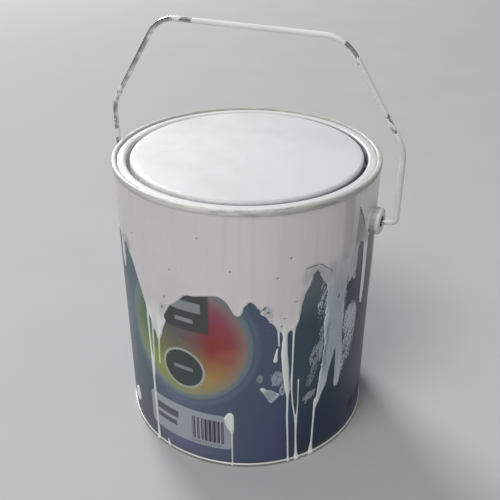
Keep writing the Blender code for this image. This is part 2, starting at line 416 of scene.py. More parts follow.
def inside_outline(u, v, points, closed=True):
    """Depth inside a closed outline, or above a line that runs once round the can."""
    curve = curve_through(points, closed)
    middle = sum(point[0] for point in points) / len(points) if closed else points[0][0] + 180.0
    x, y = near_turn(u, middle).ravel() * ARC, v.ravel()
    low, high = curve.min(0) - FAR, curve.max(0) + FAR
    close = (x > low[0]) & (x < high[0]) & (y > low[1]) & (y < high[1])
    depth = np.where((y >= high[1]) & (not closed), DEEP, -DEEP)
    above = crossings_above(curve, x[close], y[close])
    inside = above % 2 == 1 if closed else above == 0
    gap = distance_to(curve, x[close], y[close])
    depth[close] = np.where(inside, gap, -gap)
    return depth.reshape(u.shape)


def along_run(u, v, run):
    """Depth inside a run of paint, a chain of (degrees, mm, half width), and the share of its width."""
    x, y = near_turn(u, run[0][0]) * ARC, v
    depth = np.full(x.shape, -DEEP)
    share = np.zeros(x.shape)
    for (a, b, wide), (c, d, narrow) in zip(run, run[1:]):
        start, step = np.array([a * ARC, b]), np.array([(c - a) * ARC, d - b])
        reach = wide + narrow + FAR
        close = (x > min(a, c) * ARC - reach) & (x < max(a, c) * ARC + reach)
        close &= (y > min(b, d) - reach) & (y < max(b, d) + reach)
        px, py = x[close] - start[0], y[close] - start[1]
        part = np.clip((px * step[0] + py * step[1]) / (step @ step), 0, 1)
        gap = np.hypot(px - part * step[0], py - part * step[1])
        half = wide + (narrow - wide) * part
        depth[close] = np.maximum(depth[close], half - gap)
        share[close] = np.maximum(share[close], np.clip(1 - (gap / half) ** 2, 0, 1))
    return depth, share


def clear_of_ears(u, v, radius):
    """Depth outside a circle of this radius round each ear."""
    best = np.full(np.shape(u), DEEP)
    for turn in (0.0, 180.0):
        away = near_turn(u, turn) - turn
        reach = np.hypot(LABEL_RADIUS * np.sin(np.radians(away)), v - PIVOT_Z)
        best = np.minimum(best, np.where(np.abs(away) < 30, reach - radius, DEEP))
    return best


def strongest(u, v, places):
    """The highest of some soft oval spots, each (degrees, mm, half width, half height, amount)."""
    result = np.zeros(np.shape(u))
    for angle, height, wide, tall, amount in places:
        reach = np.hypot((near_turn(u, angle) - angle) * ARC / wide, (v - height) / tall)
        result = np.maximum(result, amount * smoothstep(np.clip((1.15 - reach) / 0.55, 0, 1)))
    return result


def joined(one, other, blend):
    """The union of two depths, with a fillet where they meet."""
    mix = np.clip(blend - np.abs(one - other), 0, None) / blend
    return np.maximum(one, other) + mix * mix * blend / 4


# ---- Node helpers ----


class Value:
    """A number over a surface. Arithmetic on it adds Math nodes to its material."""

    def __init__(self, tree, socket):
        self.tree, self.socket = tree, socket

    def maths(self, operation, *others):
        node = self.tree.nodes.new("ShaderNodeMath")
        node.operation = operation
        for slot, item in zip(node.inputs, (self, *others)):
            put(self.tree, item, slot)
        return Value(self.tree, node.outputs[0])

    def __add__(self, other):
        return self.maths("ADD", other)

    def __sub__(self, other):
        return self.maths("SUBTRACT", other)

    def __mul__(self, other):
        return self.maths("MULTIPLY", other)

    def __truediv__(self, other):
        return self.maths("DIVIDE", other)

    def opposite(self):
        """One minus this."""
        return self.maths("MULTIPLY_ADD", -1.0, 1.0)

    def least(self, other):
        return self.maths("MINIMUM", other)

    def most(self, other):
        return self.maths("MAXIMUM", other)

    def size(self):
        return self.maths("ABSOLUTE")

    def eased(self, low, high):
        """0 below low, 1 above high, and smooth between them; low may be above high."""
        node = self.tree.nodes.new("ShaderNodeMapRange")
        node.interpolation_type = "SMOOTHSTEP"
        put(self.tree, self, node.inputs["Value"])
        limits = (low, high, 0.0, 1.0) if low < high else (high, low, 1.0, 0.0)
        for name, limit in zip(("From Min", "From Max", "To Min", "To Max"), limits):
            node.inputs[name].default_value = limit
        return Value(self.tree, node.outputs["Result"])

    def within(self, low, high, soft):
        """1 between low and high, with soft borders."""
        return self.eased(low - soft, low + soft) * self.eased(high + soft, high - soft)

    def scaled(self, low, high):
        """0 to 1 made low to high."""
        return self.maths("MULTIPLY_ADD", high - low, low)


def length(across, up):
    """How far (across, up) is from nought."""
    return (across * across + up * up).maths("SQRT")


def highest(values):
    """The greatest of some Values."""
    first, *others = values
    for value in others:
        first = first.most(value)
    return first


def put(tree, source, socket):
    """Feed a socket from a Value or another socket, or set it."""
    if isinstance(source, Value):
        source = source.socket
    if isinstance(source, bpy.types.NodeSocket):
        tree.links.new(source, socket)
    elif socket.type == "RGBA":
        socket.default_value = (*source, 1.0)
    else:
        socket.default_value = source


def blended(tree, factor, first, second):
    """A colour that goes from first to second."""
    node = tree.nodes.new("ShaderNodeMix")
    node.data_type = "RGBA"
    for source, slot in ((factor, 0), (first, 6), (second, 7)):
        put(tree, source, node.inputs[slot])
    return node.outputs[2]


def ramp(value, stops):
    """An ink looked up from a Value by (position, red, green, blue) stops in screen colours."""
    node = value.tree.nodes.new("ShaderNodeValToRGB")
    put(value.tree, value, node.inputs[0])
    elements = node.color_ramp.elements
    for position, *_ in stops[1:-1]:
        elements.new(position)
    for element, (position, *ink) in zip(elements, stops):
        element.position = position
        element.color = (*printed(*ink), 1.0)
    return node.outputs[0]


class Surface:
    """A new Principled material in object space, in mm, whose base colour is built up in layers."""

    def __init__(self, name, colour=None):
        self.material = bpy.data.materials.new(name)
        self.material.use_nodes = True
        self.tree = self.material.node_tree
        self.shader = self.tree.nodes["Principled BSDF"]
        self.colour = colour
        coordinates = self.tree.nodes.new("ShaderNodeTexCoord")
        scale = self.tree.nodes.new("ShaderNodeVectorMath")
        scale.operation = "SCALE"
        scale.inputs["Scale"].default_value = 1 / MM
        parts = self.tree.nodes.new("ShaderNodeSeparateXYZ")
        self.tree.links.new(coordinates.outputs["Object"], scale.inputs[0])
        self.tree.links.new(scale.outputs[0], parts.inputs[0])
        self.x, self.y, self.z = (Value(self.tree, socket) for socket in parts.outputs)

    def round_wall(self):
        """The arc length from the front, in mm, positive to the right; it breaks at the back."""
        turn = math.radians(FRONT)
        ahead = self.x * math.cos(turn) + self.y * math.sin(turn)
        aside = self.y * math.cos(turn) - self.x * math.sin(turn)
        return aside.maths("ARCTAN2", ahead) * LABEL_RADIUS

    def noise_at(self, x, y, z, scale, detail=3.0, roughness=0.55):
        """Noise over a place given as three Values or numbers."""
        place = self.tree.nodes.new("ShaderNodeCombineXYZ")
        for source, slot in zip((x, y, z), place.inputs):
            put(self.tree, source, slot)
        node = self.tree.nodes.new("ShaderNodeTexNoise")
        self.tree.links.new(place.outputs[0], node.inputs["Vector"])
        for name, amount in (("Scale", scale), ("Detail", detail), ("Roughness", roughness)):
            node.inputs[name].default_value = amount
        return Value(self.tree, node.outputs["Fac"])

    def noise(self, scale, stretch=(1, 1, 1), detail=3.0, roughness=0.55):
        """Noise over object space in cycles per mm, stretched along the axes."""
        place = [part * share for part, share in zip((self.x, self.y, self.z), stretch)]
        return self.noise_at(*place, scale, detail, roughness)

    def over(self, mask, colour):
        """Lay a colour over the ones before it, as far as the mask is 1."""
        self.colour = blended(self.tree, mask, self.colour, colour)
        self.set("Base Color", self.colour)

    def set(self, name, source):
        put(self.tree, source, self.shader.inputs[name])

    def bump(self, height, distance, strength):
        """Relief from a height Value, distance in mm."""
        node = self.tree.nodes.new("ShaderNodeBump")
        node.inputs["Strength"].default_value = strength
        node.inputs["Distance"].default_value = distance * MM
        put(self.tree, height, node.inputs["Height"])
        self.tree.links.new(node.outputs[0], self.shader.inputs["Normal"])


# ---- Masks on the can's wall, where u is round_wall's arc length and v the height ----


def on_wall(degrees):
    """An angle as the arc length that round_wall gives."""
    return (degrees - FRONT) * ARC


def box_mask(u, v, left, right, low, high, soft=0.35):
    """1 inside an upright rectangle of the wall, its sides given in degrees and its ends in mm."""
    return u.within(on_wall(left), on_wall(right), soft) * v.within(low, high, soft)


def round_box(u, v, left, right, low, high, radius):
    """Like box_mask, but with round corners."""
    across = (u - on_wall((left + right) / 2)).size() - ((right - left) / 2 * ARC - radius)
    up = (v - (low + high) / 2).size() - ((high - low) / 2 - radius)
    return length(across.most(0.0), up.most(0.0)).eased(radius + 0.35, radius - 0.35)


def oval(u, v, angle, height, long, wide, lean):
    """The square of how far out from an oval's middle, where 1 is its edge; it leans from upright."""
    turn = math.radians(lean)
    across, up = u - on_wall(angle), v - height
    ahead = across * (math.sin(turn) / long) + up * (math.cos(turn) / long)
    aside = across * (math.cos(turn) / wide) - up * (math.sin(turn) / wide)
    return ahead * ahead + aside * aside


# How much of the light that falls on the front of the wall comes back from a white surface
SEEN_SHARE = 0.70


def printed(*screen):
    """The ink that looks like this screen colour of 0 to 255 in the light on the wall."""
    parts = [part / 255.0 for part in screen]
    linear = [part / 12.92 if part <= 0.04045 else ((part + 0.055) / 1.055) ** 2.4 for part in parts]
    return [min(part / SEEN_SHARE, 0.9) for part in linear]


# ---- Paint ----

DIRT = (0.34, 0.31, 0.26)

# Specks, nicks and dark brush lines in the coat on the can: degrees, mm above the foot, half length,
# half width and lean from upright in degrees
PAINT_MARKS = (
    (-46.9, 159, 0.9, 0.5, 30), (-52, 147, 1, 0.4, 60), (-57, 126.8, 1.7, 0.8, 40),
    (-55.5, 123.8, 1.2, 0.7, 70), (-58.4, 125.4, 1, 0.5, 20), (-48.8, 118.3, 1, 0.4, 80),
    (-50, 113, 0.8, 0.4, 50), (-43.8, 129, 1.6, 0.3, 85), (-22.6, 122.6, 1.9, 0.7, 10),
    (-37.6, 150.3, 4.4, 0.5, 84), (-33.4, 150, 2.2, 0.3, 110), (-31, 147.2, 3.4, 0.4, 128),
    (-28, 143.4, 2, 0.4, 145), (-11.9, 174, 3.2, 0.8, -22), (-9.3, 168.4, 4.2, 0.6, -30),
    (-7.7, 163.6, 2.4, 0.5, -10), (-118.5, 158, 0.8, 0.4, 30), (-96, 146, 0.7, 0.4, 70),
    (-99.8, 125, 1.6, 0.5, 25), (-101.4, 117, 1.4, 0.6, 10), (-83, 171, 0.7, 0.4, 40),
    (-70.4, 152, 0.6, 0.5, 0), (30, 160, 1.2, 0.5, 60), (64, 152, 1, 0.5, 30), (110, 166, 1.3, 0.4, 75),
    (150, 148, 1, 0.5, 20),
)


def dried_white(name, tint, gloss=(0.34, 0.55)):
    """Dried white paint: uneven white, faint stains, specks, brush lines and a soft gloss."""
    made = Surface(name, tint)
    patches = made.noise(0.035, detail=4.0)
    stains = made.noise(0.11, (1, 1, 0.5), detail=5.0, roughness=0.65)
    specks = made.noise(0.9, detail=1.0).eased(0.79, 0.83)
    made.over(patches.eased(0.35, 0.7) * 0.8, (tint[0] * 0.92, tint[1] * 0.92, tint[2] * 0.90))
    made.over(stains.eased(0.62, 0.8) * 0.22, DIRT)
    made.over(specks * 0.75, DIRT)
    made.set("Roughness", stains.scaled(*gloss))
    made.set("Specular IOR Level", 0.45)
    made.bump(made.noise(1.3, (1, 1, 0.05)) * 0.4 + made.noise(0.5), 0.10, 0.5)
    return made


def lid_paint():
    """The brighter, smoother paint on the lid: painted shade greys it to the right, darkens the groove, more
    on the right, and lines the panel's edge.
    """
    made = dried_white("paint_lid", (0.79, 0.79, 0.80), (0.24, 0.42))
    reach = length(made.x, made.y)
    grime_and_shade = made.noise(0.25, detail=4.0)
    heading = math.radians(10.0)
    rightward = made.x * math.cos(heading) + made.y * math.sin(heading)
    # Painted shade: the paint greys towards the right, away from the light on the left
    made.over(rightward.eased(-60.0, 75.0) * 0.85, (0.64, 0.64, 0.67))
    # Painted shade in the groove, darker to the right and blotched by noise
    in_groove = reach.within(PANEL_RADIUS + 0.3, PANEL_RADIUS + 3.4, 0.3)
    in_groove = in_groove * made.z.eased(CAN_HEIGHT - 0.8, CAN_HEIGHT - 2.9)
    groove_shade = in_groove * rightward.eased(-60.0, 50.0).scaled(0.12, 1.0) * grime_and_shade.scaled(0.7, 1.1)
    made.over(groove_shade.least(0.95), (0.14, 0.15, 0.17))
    scratches = made.noise(0.5, (1, 0.25, 1), detail=4.0, roughness=0.7).eased(0.69, 0.74)
    made.over(scratches * 0.30, (0.45, 0.45, 0.46))
    # Painted shade along the panel's edge, where it turns down into the groove, blotched by noise
    panel_edge_shade = reach.within(PANEL_RADIUS - 0.2, PANEL_RADIUS + 0.5, 0.3) * grime_and_shade.eased(0.35, 0.6)
    made.over(panel_edge_shade * 0.35, (0.40, 0.41, 0.42))
    return made.material


def coat_paint():
    """The coat that ran down the can: greyer on the wall, thin and streaked where it was dragged, with
    painted light that lightens it round the front and a band of painted shade left of the right ear.
    """
    made = dried_white("paint_coat", (0.745, 0.715, 0.725))
    u, v = made.round_wall(), made.z
    # Painted light: the coat is lighter from -98 degrees round to the right, standing in for light that the
    # lamps give less of there
    made.over(u.eased(on_wall(-98.0), on_wall(-62.0)) * 0.9, (0.84, 0.80, 0.81))
    bands = made.noise_at(u, v * 0.04, 1.0, 0.16)
    made.over(bands.eased(0.45, 0.75) * 0.5, (0.65, 0.64, 0.63))
    cool = cool_side(u, v)
    made.over(cool * 0.9, (0.66, 0.75, 0.82))
    dragged_and_shaded_side(made, u, v, (bands - 0.5) * 1.6)
    thin_coat(made, u, v, cool)
    made.over(box_mask(u, v, -7.0, -1.0, 95.0, 148.5, 0.4) * 0.95, (0.92, 0.96, 0.98))
    rim_paint(made, u, v)
    rough = (made.noise(1.1, detail=2.0) - 0.5) * 1.6
    dark = highest([(oval(u, v, *mark) + rough).eased(1.15, 0.65) for mark in PAINT_MARKS])
    made.over(dark * 0.85, printed(84, 84, 82))
    return made.material


def cool_side(u, v):
    """The tongues to the right of the notch and a small dab, whose thin paint looks blue."""
    tongues = u.within(on_wall(-33.0), on_wall(-16.0), 4.0) * v.eased(44.0, 52.0) * v.eased(148.0, 120.0)
    return tongues.most(box_mask(u, v, -60.0, -49.4, 52.0, 69.0, 0.6))


def dragged_and_shaded_side(made, u, v, ragged):
    """The coat left of the right ear: a band of painted shade where the wall turns away from the light, and,
    where a rag or a hand dragged it, a pale area and a wedge.
    """
    # Painted shade: a darker band where the wall turns away from the light
    made.over(box_mask(u, v, -22.5, -16.5, 146.0, 186.0, 1.6) * 0.55, (0.50, 0.49, 0.48))
    pale = u.eased(on_wall(-18.0), on_wall(-11.0)) * u.eased(on_wall(30.0), on_wall(8.0))
    made.over(pale * v.eased(158.0, 174.0) * 0.95, (0.90, 0.91, 0.87))
    fall = (v * -1.0 + 176.0).most(0.0)
    aside = u - on_wall(-12.7)
    left = (aside + fall * 0.09 + ragged).eased(-0.8, 0.9)
    right = (aside * -1.0 + fall.maths("POWER", 0.6) * 1.6 + ragged).eased(-0.15, 0.25)
    made.over(left * right * v.eased(149.0, 154.0) * 0.9, (0.42, 0.43, 0.40))
    green = u.within(on_wall(-8.6), on_wall(-2.5), 0.8) * v.within(147.0, 161.0, 2.5)
    made.over(green * 0.6, (0.55, 0.60, 0.58))


def thin_coat(made, u, v, cool):
    """The print showing through where the film's thin layer says so, and whiter thick runs low down."""
    thin = made.tree.nodes.new("ShaderNodeAttribute")
    thin.attribute_name = "thin"
    thinness = Value(made.tree, thin.outputs["Fac"])
    streaks = made.noise_at(u, v * 0.10, 5.0, 0.8, 4.0, 0.6)
    under = blended(made.tree, v.eased(146.0, 158.0), printed(86, 104, 116), printed(92, 96, 94))
    made.over((thinness * streaks.scaled(0.35, 1.45)).least(0.95), under)
    fresh = v.eased(122.0, 100.0) * thinness.opposite() * (cool * 0.9).opposite()
    made.over(fresh * 0.95, (0.90, 0.93, 0.90))


def rim_paint(made, u, v):
    """The paint on the top seam: yellower, greyed by painted shade the further it turns from -78 degrees, so
    greyer on the right, with fine dirty lines along it.
    """
    rim = v.eased(LABEL_HIGH - 0.6, LABEL_HIGH + 0.6)
    # Painted shade: the seam's paint greys the further it turns from -78 degrees
    side = (u - on_wall(-78.0)).size().eased(8.0, 74.0)
    made.over(rim * 0.85, blended(made.tree, side, (0.77, 0.775, 0.75), (0.48, 0.49, 0.46)))
    lines = made.noise_at(u * 0.10, v * 1.1, length(made.x, made.y) * 1.1, 1.0, 4.0, 0.6)
    rightward = u.eased(on_wall(-120.0), on_wall(-30.0)).scaled(0.35, 0.8)
    made.over(lines.eased(0.51, 0.62) * rim * rightward, (0.34, 0.335, 0.27))
    grime_and_shade = made.noise(0.7).eased(0.58, 0.70) * v.within(LABEL_HIGH - 0.8, LABEL_HIGH + 1.2, 0.5)
    made.over(grime_and_shade * 0.6, (0.34, 0.33, 0.28))


def ear_paint():
    """The skin of paint on the ears: a grey streaked smear on the barrel, in part painted shade, whiter at
    the edges of face and wall.
    """
    made = dried_white("paint_ear", (0.80, 0.80, 0.79))
    wear = made.noise(0.45, detail=4.0, roughness=0.65)
    barrel = (made.x.size() + (wear - 0.5) * 2.4).within(EAR_SEAT + 1.2, EAR_FACE - 1.7, 0.5)
    streaks = made.noise(1.2, (0.3, 1, 1))
    # In part painted shade: the barrel greyer, with streaks, than the face and the wall
    made.over(barrel * 0.9, blended(made.tree, streaks, (0.36, 0.355, 0.35), (0.52, 0.515, 0.50)))
    made.over(wear.eased(0.66, 0.70) * barrel * 0.7, (0.12, 0.12, 0.11))
    return made.material


# ---- Bare metal and sealing compound ----


def sheet_steel(name, bright, grey, marks_scale, gloss):
    """Tinned sheet steel, drawn in one direction, with grey handling marks; also gives the marks."""
    made = Surface(name, bright)
    drawn = made.noise(0.8, (0.4, 0.4, 6.0), detail=4.0)
    marks = made.noise(marks_scale, detail=5.0, roughness=0.7)
    made.over(marks.eased(0.4, 0.75), grey)
    made.set("Metallic", 1.0)
    made.set("Roughness", (drawn * 0.5 + marks * 0.5).scaled(*gloss))
    made.bump(drawn + marks, 0.03, 0.4)
    return made, marks


def bright_metal():
    made, _ = sheet_steel("tinplate_bright", (0.66, 0.66, 0.66), (0.36, 0.35, 0.33), 0.07, (0.2, 0.45))
    return made.material


def dull_metal():
    made, _ = sheet_steel("tinplate_dull", (0.66, 0.66, 0.66), (0.26, 0.25, 0.23), 0.07, (0.3, 0.55))
    return made.material


def base_metal():
    """The base's tinplate, with a painted highlight: a broken bright line along the top of its seam."""
    made, marks = sheet_steel("tinplate_base", (0.55, 0.55, 0.54), (0.30, 0.29, 0.27), 0.09, (0.28, 0.5))
    outside = length(made.x, made.y).eased(SEAM_RADIUS - 1.1, SEAM_RADIUS - 0.5)
    # Painted highlight: a whitish, less metallic line along the top of the base seam, where its top edge
    # would catch the light, broken up by the handling marks
    wear_and_highlight = made.z.within(2.2, 3.3, 0.25) * outside * marks.eased(0.30, 0.42)
    made.over(wear_and_highlight * 0.9, (0.90, 0.92, 0.88))
    made.set("Metallic", wear_and_highlight.scaled(1.0, 0.15))
    return made.material


def bare_wire():
    """Drawn steel wire, darkened by handling, with brighter rubbed stretches."""
    made = Surface("wire_bare", (0.34, 0.335, 0.325))
    marks = made.noise(0.16, detail=5.0, roughness=0.7)
    pits = made.noise(1.1, detail=2.0)
    made.over(marks.eased(0.38, 0.68), (0.78, 0.775, 0.76))
    made.set("Metallic", 1.0)
    made.set("Roughness", (marks * 0.6 + pits * 0.4).scaled(0.40, 0.18))
    made.bump(pits, 0.05, 0.5)
    return made.material


def sealing():
    """Matt grey-green sealing compound."""
    made = Surface("compound", (0.20, 0.22, 0.19))
    mottled = made.noise(0.5, detail=4.0)
    made.over(mottled, (0.30, 0.32, 0.28))
    made.set("Roughness", mottled.scaled(0.7, 0.9))
    made.bump(mottled, 0.05, 0.5)
    return made.material


def painted_ear():
    """Pressed steel under a grey smear of the paint with bare patches, dark round the hole for the wire."""
    made = Surface("ear_painted", (0.52, 0.515, 0.50))
    wear_and_highlight = made.noise(0.35, detail=5.0, roughness=0.65)
    brush = made.noise(0.9, (1, 0.3, 0.3))
    near_hole = length(made.z - PIVOT_Z, made.y).eased(4.2, 3.2)
    bare = (wear_and_highlight + near_hole * 0.4).eased(0.56, 0.66)
    made.over(brush, (0.34, 0.34, 0.335))
    made.over(bare, (0.09, 0.088, 0.085))
    made.set("Metallic", bare * 0.8)
    made.set("Roughness", wear_and_highlight.scaled(0.35, 0.6))
    made.bump(brush * 0.6 - bare, 0.12, 0.6)
    return made.material


# ---- The label's print ----

# The print's ground round the wall, high up and low down: degrees and a screen colour
UPPER_INKS = (
    (FRONT - 180, 60, 72, 88), (-150, 72, 84, 98), (-126, 78, 98, 106), (-112, 74, 94, 100),
    (-90, 80, 90, 106), (-64, 74, 88, 102), (-54, 78, 86, 106), (-46, 62, 80, 92), (-36, 58, 76, 88),
    (-20, 60, 70, 82), (-4, 72, 74, 88), (16, 74, 82, 90), (60, 62, 76, 90), (FRONT + 180, 60, 72, 88),
)
LOWER_INKS = (
    (FRONT - 180, 62, 68, 92), (-150, 78, 78, 90), (-112, 80, 86, 98), (-98, 96, 98, 124),
    (-84, 88, 94, 116), (-62, 72, 82, 104), (-50, 72, 76, 110), (-38, 42, 56, 72), (-20, 38, 50, 74),
    (-4, 58, 62, 88), (16, 60, 62, 88), (60, 56, 62, 92), (FRONT + 180, 62, 68, 92),
)

# The disc's colours once round it, near its edge and deeper in: share of a turn and a screen colour
SPECTRUM = (
    (0, 84, 112, 82), (0.12, 128, 142, 78), (0.26, 142, 142, 84), (0.36, 150, 122, 80),
    (0.43, 146, 98, 76), (0.5, 134, 66, 66), (0.6, 130, 68, 82), (0.72, 118, 88, 102),
    (0.82, 82, 108, 108), (0.92, 76, 106, 92), (1, 84, 112, 82),
)
DEEP_SPECTRUM = (
    (0, 92, 110, 80), (0.3, 140, 118, 76), (0.5, 130, 56, 56), (0.66, 124, 60, 82),
    (0.85, 70, 92, 84), (1, 92, 110, 80),
)

# Thin paint dragged over the print: degrees, mm above the foot, half length, half width, lean from
# upright, how full it is (0.3 is nearly closed, -0.3 a few specks) and how white
SMEARS = (
    (-13, 98, 13, 7.6, 0, 0.24, 0.95), (-13.6, 80, 19, 6.2, 14, 0.08, 0.95),
    (-16, 66, 10, 2.6, 22, 0.02, 1), (-31.4, 123, 13, 3.2, 4, -0.04, 1),
    (-31.2, 104, 14, 1.8, 2, -0.12, 0.7), (-33.2, 84.5, 8.5, 4.6, 14, 0.16, 0.5),
    (-30.9, 90, 9, 1.2, 3, 0.2, 0.6), (-35, 70, 9.5, 2.6, 18, 0.14, 0.34),
    (-35.8, 53.5, 5.5, 2.8, 60, 0.3, 0.48), (-37, 49.5, 2.5, 1.2, 30, 0.1, 0.4),
    (-51.2, 73.5, 6, 4, 10, 0.36, 0.52), (-58.6, 74.5, 3, 1.8, 0, 0.2, 0.35),
    (-48.6, 64, 5, 2.4, 10, 0.3, 0.6), (-29.8, 56, 12, 1.6, 6, 0.05, 0.6),
    (-18, 118, 14, 0.9, 0, 0.05, 0.6), (28.5, 116, 16, 3.4, 4, -0.1, 0.45),
    (47, 134, 13, 5, -6, -0.12, 0.4), (50, 108, 12, 2.5, -8, -0.15, 0.35), (92, 134, 11, 7, 8, -0.06, 0.4),
    (84, 108, 13, 2, 6, -0.15, 0.35), (152, 128, 15, 3, -4, -0.12, 0.4), (171, 136, 12, 5, 5, -0.08, 0.4),
    (-160, 124, 16, 4, 5, -0.1, 0.4),
)


def label_print():
    """The printed label under thin smears of paint: soft colours, a colour disc and plain blocks."""
    made = Surface("label_print")
    u, v = made.round_wall(), made.z
    round_share = u / (360.0 * ARC) + 0.5
    upper, lower = [
        ramp(round_share, [((turn - FRONT) / 360.0 + 0.5, *ink) for turn, *ink in inks])
        for inks in (UPPER_INKS, LOWER_INKS)
    ]
    clouds = made.noise(0.03)
    made.colour = upper
    made.over((v + clouds * 60.0).eased(115.0, 45.0), lower)
    colour_disc(made, u, v)
    plain_blocks(made, u, v)
    paint = smears(made, u, v)
    scuffs = made.noise(0.5, (1, 1, 0.35), detail=5.0, roughness=0.7)
    made.over(scuffs.eased(0.66, 0.80) * 0.35, printed(150, 158, 166))
    made.set("Roughness", (paint * 0.1 + clouds * 0.2).scaled(0.34, 0.9))
    made.set("Specular IOR Level", 0.18)
    made.bump(paint * 1.5 + made.noise(1.6) * 0.3 + scuffs * 0.4, 0.08, 0.6)
    return made.material


def colour_disc(made, u, v):
    """A plain disc of blurred spectrum colours, with a pale ring at its edge."""
    tree = made.tree
    across, up = u - on_wall(-92.5), v - 98.0
    reach = length(across, up)
    wobble = (made.noise(0.05, detail=2.0) - 0.5) * 0.14
    turn = up.maths("ARCTAN2", across) / math.tau + 0.5 + wobble
    inner = blended(tree, reach.eased(34.0, 18.0), ramp(turn, SPECTRUM), ramp(turn, DEEP_SPECTRUM))
    inner = blended(tree, reach.eased(22.0, 6.0) * 0.75, inner, printed(96, 90, 88))
    inner = blended(tree, reach.eased(32.0, 42.0) * 0.6, inner, printed(122, 126, 118))
    made.over(reach.eased(46.6, 41.5), inner)
    made.over(reach.within(42.2, 45.8, 0.9) * 0.75, printed(100, 120, 128))
    made.over(reach.within(46.6, 50.0, 2.5) * 0.30, printed(112, 122, 142))


def plain_blocks(made, u, v):
    """Blocks, bars and a spot with no lettering, where a label has its panels."""
    dark = printed(62, 68, 68)
    pale = printed(150, 156, 158)

    def bars(ink, amount, *places, soft=0.35):
        for place in places:
            made.over(box_mask(u, v, *place, soft) * amount, ink)

    bars(dark, 0.92, (-101.5, -79.5, 106.0, 140.0), soft=0.8)
    bars(pale, 0.6, (-96.5, -83, 120.0, 127.0), (-95, -86.5, 111.8, 114.8))

    reach = length(u - on_wall(-92.3), v - 75.5)
    made.over(reach.eased(15.6, 15.0), printed(150, 156, 148))
    made.over(reach.eased(13.9, 13.3), dark)
    bars(pale, 0.55, (-97, -87.6, 74.6, 77.4))

    made.over(round_box(u, v, -114.0, -70.5, 14.5, 43.0, 4.0) * 0.92, printed(148, 154, 162))
    bars(printed(62, 64, 72), 0.85, (-109.5, -96.5, 30.5, 36.5), (-109.5, -97.5, 23.5, 27.5))
    stripes = (u * 0.66 + (u * 1.9).maths("SINE") * 0.28).maths("FRACT").eased(0.34, 0.42)
    made.over(stripes * box_mask(u, v, -89.5, -73.4, 19.0, 38.0, 0.2) * 0.95, printed(56, 52, 62))
    dashes = (u * 0.9).maths("FRACT").within(0.15, 0.75, 0.08)
    made.over(dashes * box_mask(u, v, -90.5, -75.0, 15.8, 17.6, 0.2) * 0.5, printed(84, 84, 94))

    lines = (v * 0.31).maths("FRACT").within(0.3, 0.7, 0.08) * box_mask(u, v, -137, -127, 52.0, 118.0, 0.6)
    ragged = made.noise(0.5, (1, 1, 0.2), detail=2.0).eased(0.40, 0.52)
    made.over(lines * ragged * 0.5, printed(140, 138, 142))
    bars(printed(16, 16, 36), 0.9, (-8.0, -2.5, 16.0, 24.5), (0.0, 9.0, 14.0, 25.0), soft=0.5)


def smears(made, u, v):
    """Dry-brushed paint over the print. Gives how much paint there is."""
    fine = made.noise_at(u + v * 0.30, v * 0.40, 3.0, 1.0, 5.0, 0.72)
    long = made.noise_at(u - v * 0.30, v * 0.13, 7.0, 0.75, 5.0, 0.72)
    dry = fine * 0.5 + long * 0.5
    rough = (dry - 0.5) * 4.0
    patches = []
    for *place, full, white in SMEARS:
        body = (oval(u, v, *place).opposite() * 0.9).least(full)
        patches.append((body + rough).eased(-0.02, 0.14) * white)
    paint = highest(patches)
    by_ear = box_mask(u, v, -11.5, -6.5, 108.0, 152.0, 1.4) * v.eased(112.0, 150.0) * 0.30
    past_ear = u.within(on_wall(-1.0), on_wall(16.0), 3.0) * v.eased(106.0, 152.0) * 0.34
    notch = box_mask(u, v, -44.0, -30.0, 112.0, 150.0, 2.0) * v.eased(108.0, 138.0) * 0.24
    haze = highest([by_ear, past_ear, notch]) * dry.scaled(0.6, 1.4)
    made.over(haze, printed(146, 152, 150))
    made.over(paint, (0.64, 0.70, 0.78))
    return paint


# ---- The metal of the can ----


def at_top(points):
    """The same seam line, upside down, at the top of the can."""
    return [(point[0], CAN_HEIGHT - point[1], *point[2:]) for point in points]


def body_hook_line():
    """From the hook's free edge, round its fold, to the wall: heights from the seam's outer end."""
    fold = SHEET + GAP + COMPOUND + GAP + SHEET / 2
    return [
        (BODY_HOOK, fold + HOOK_LENGTH),
        (BODY_HOOK, fold, 0.5),
        (NECKED_WALL, fold, 0.5),
        (NECKED_WALL, SEAM_HEIGHT, 1.0),
        (BODY_RADIUS - SHEET / 2, SEAM_HEIGHT + NECK_RISE, 1.0),
    ]


def end_hook_line():
    """From the end hook's free edge, round the seaming wall, to the crown over the chuck wall."""
    return [
        (END_HOOK, SEAM_HEIGHT - SHEET / 2 - HOOK_LENGTH),
        (END_HOOK, SEAM_HEIGHT - SHEET / 2, 0.5),
        (SEAMING_WALL, SEAM_HEIGHT - SHEET / 2, 0.5),
        (SEAMING_WALL, SHEET / 2, 0.75),
        (CHUCK_WALL, SHEET / 2, 0.75),
    ]


def make_body():
    line = rounded(body_hook_line() + at_top(body_hook_line())[::-1])
    return turned("body_wall", both_faces(line, SHEET))


def make_base():
    inside = BASE_BEAD_RADIUS - BASE_BEAD_WIDTH / 2
    outside = BASE_BEAD_RADIUS + BASE_BEAD_WIDTH / 2
    low = BASE_PANEL_Z - BASE_BEAD_DROP
    panel = [
        (CHUCK_WALL, BASE_PANEL_Z, 0.8),
        (outside, BASE_PANEL_Z, 1.5),
        (outside - BASE_BEAD_DROP, low, 1.5),
        (inside + BASE_BEAD_DROP, low, 1.5),
        (inside, BASE_PANEL_Z, 1.5),
        (0.0, BASE_PANEL_Z),
    ]
    line = rounded((end_hook_line() + panel)[::-1])
    return turned("base_disc", both_faces(line, SHEET))


def make_ring():
    shelf = CAN_HEIGHT - SHELF_DEPTH
    foot = shelf - NECK_LENGTH
    inside = [
        (CHUCK_WALL, shelf, 0.8),
        (NECK_RADIUS, shelf, 0.8),
        (NECK_RADIUS, foot, 0.6),
        (NECK_RADIUS + NECK_HEM, foot, 0.6),
        (NECK_RADIUS + NECK_HEM, foot + NECK_HEM),
    ]
    line = rounded(at_top(end_hook_line()) + inside)
    return turned("rim_ring", both_faces(line, SHEET))


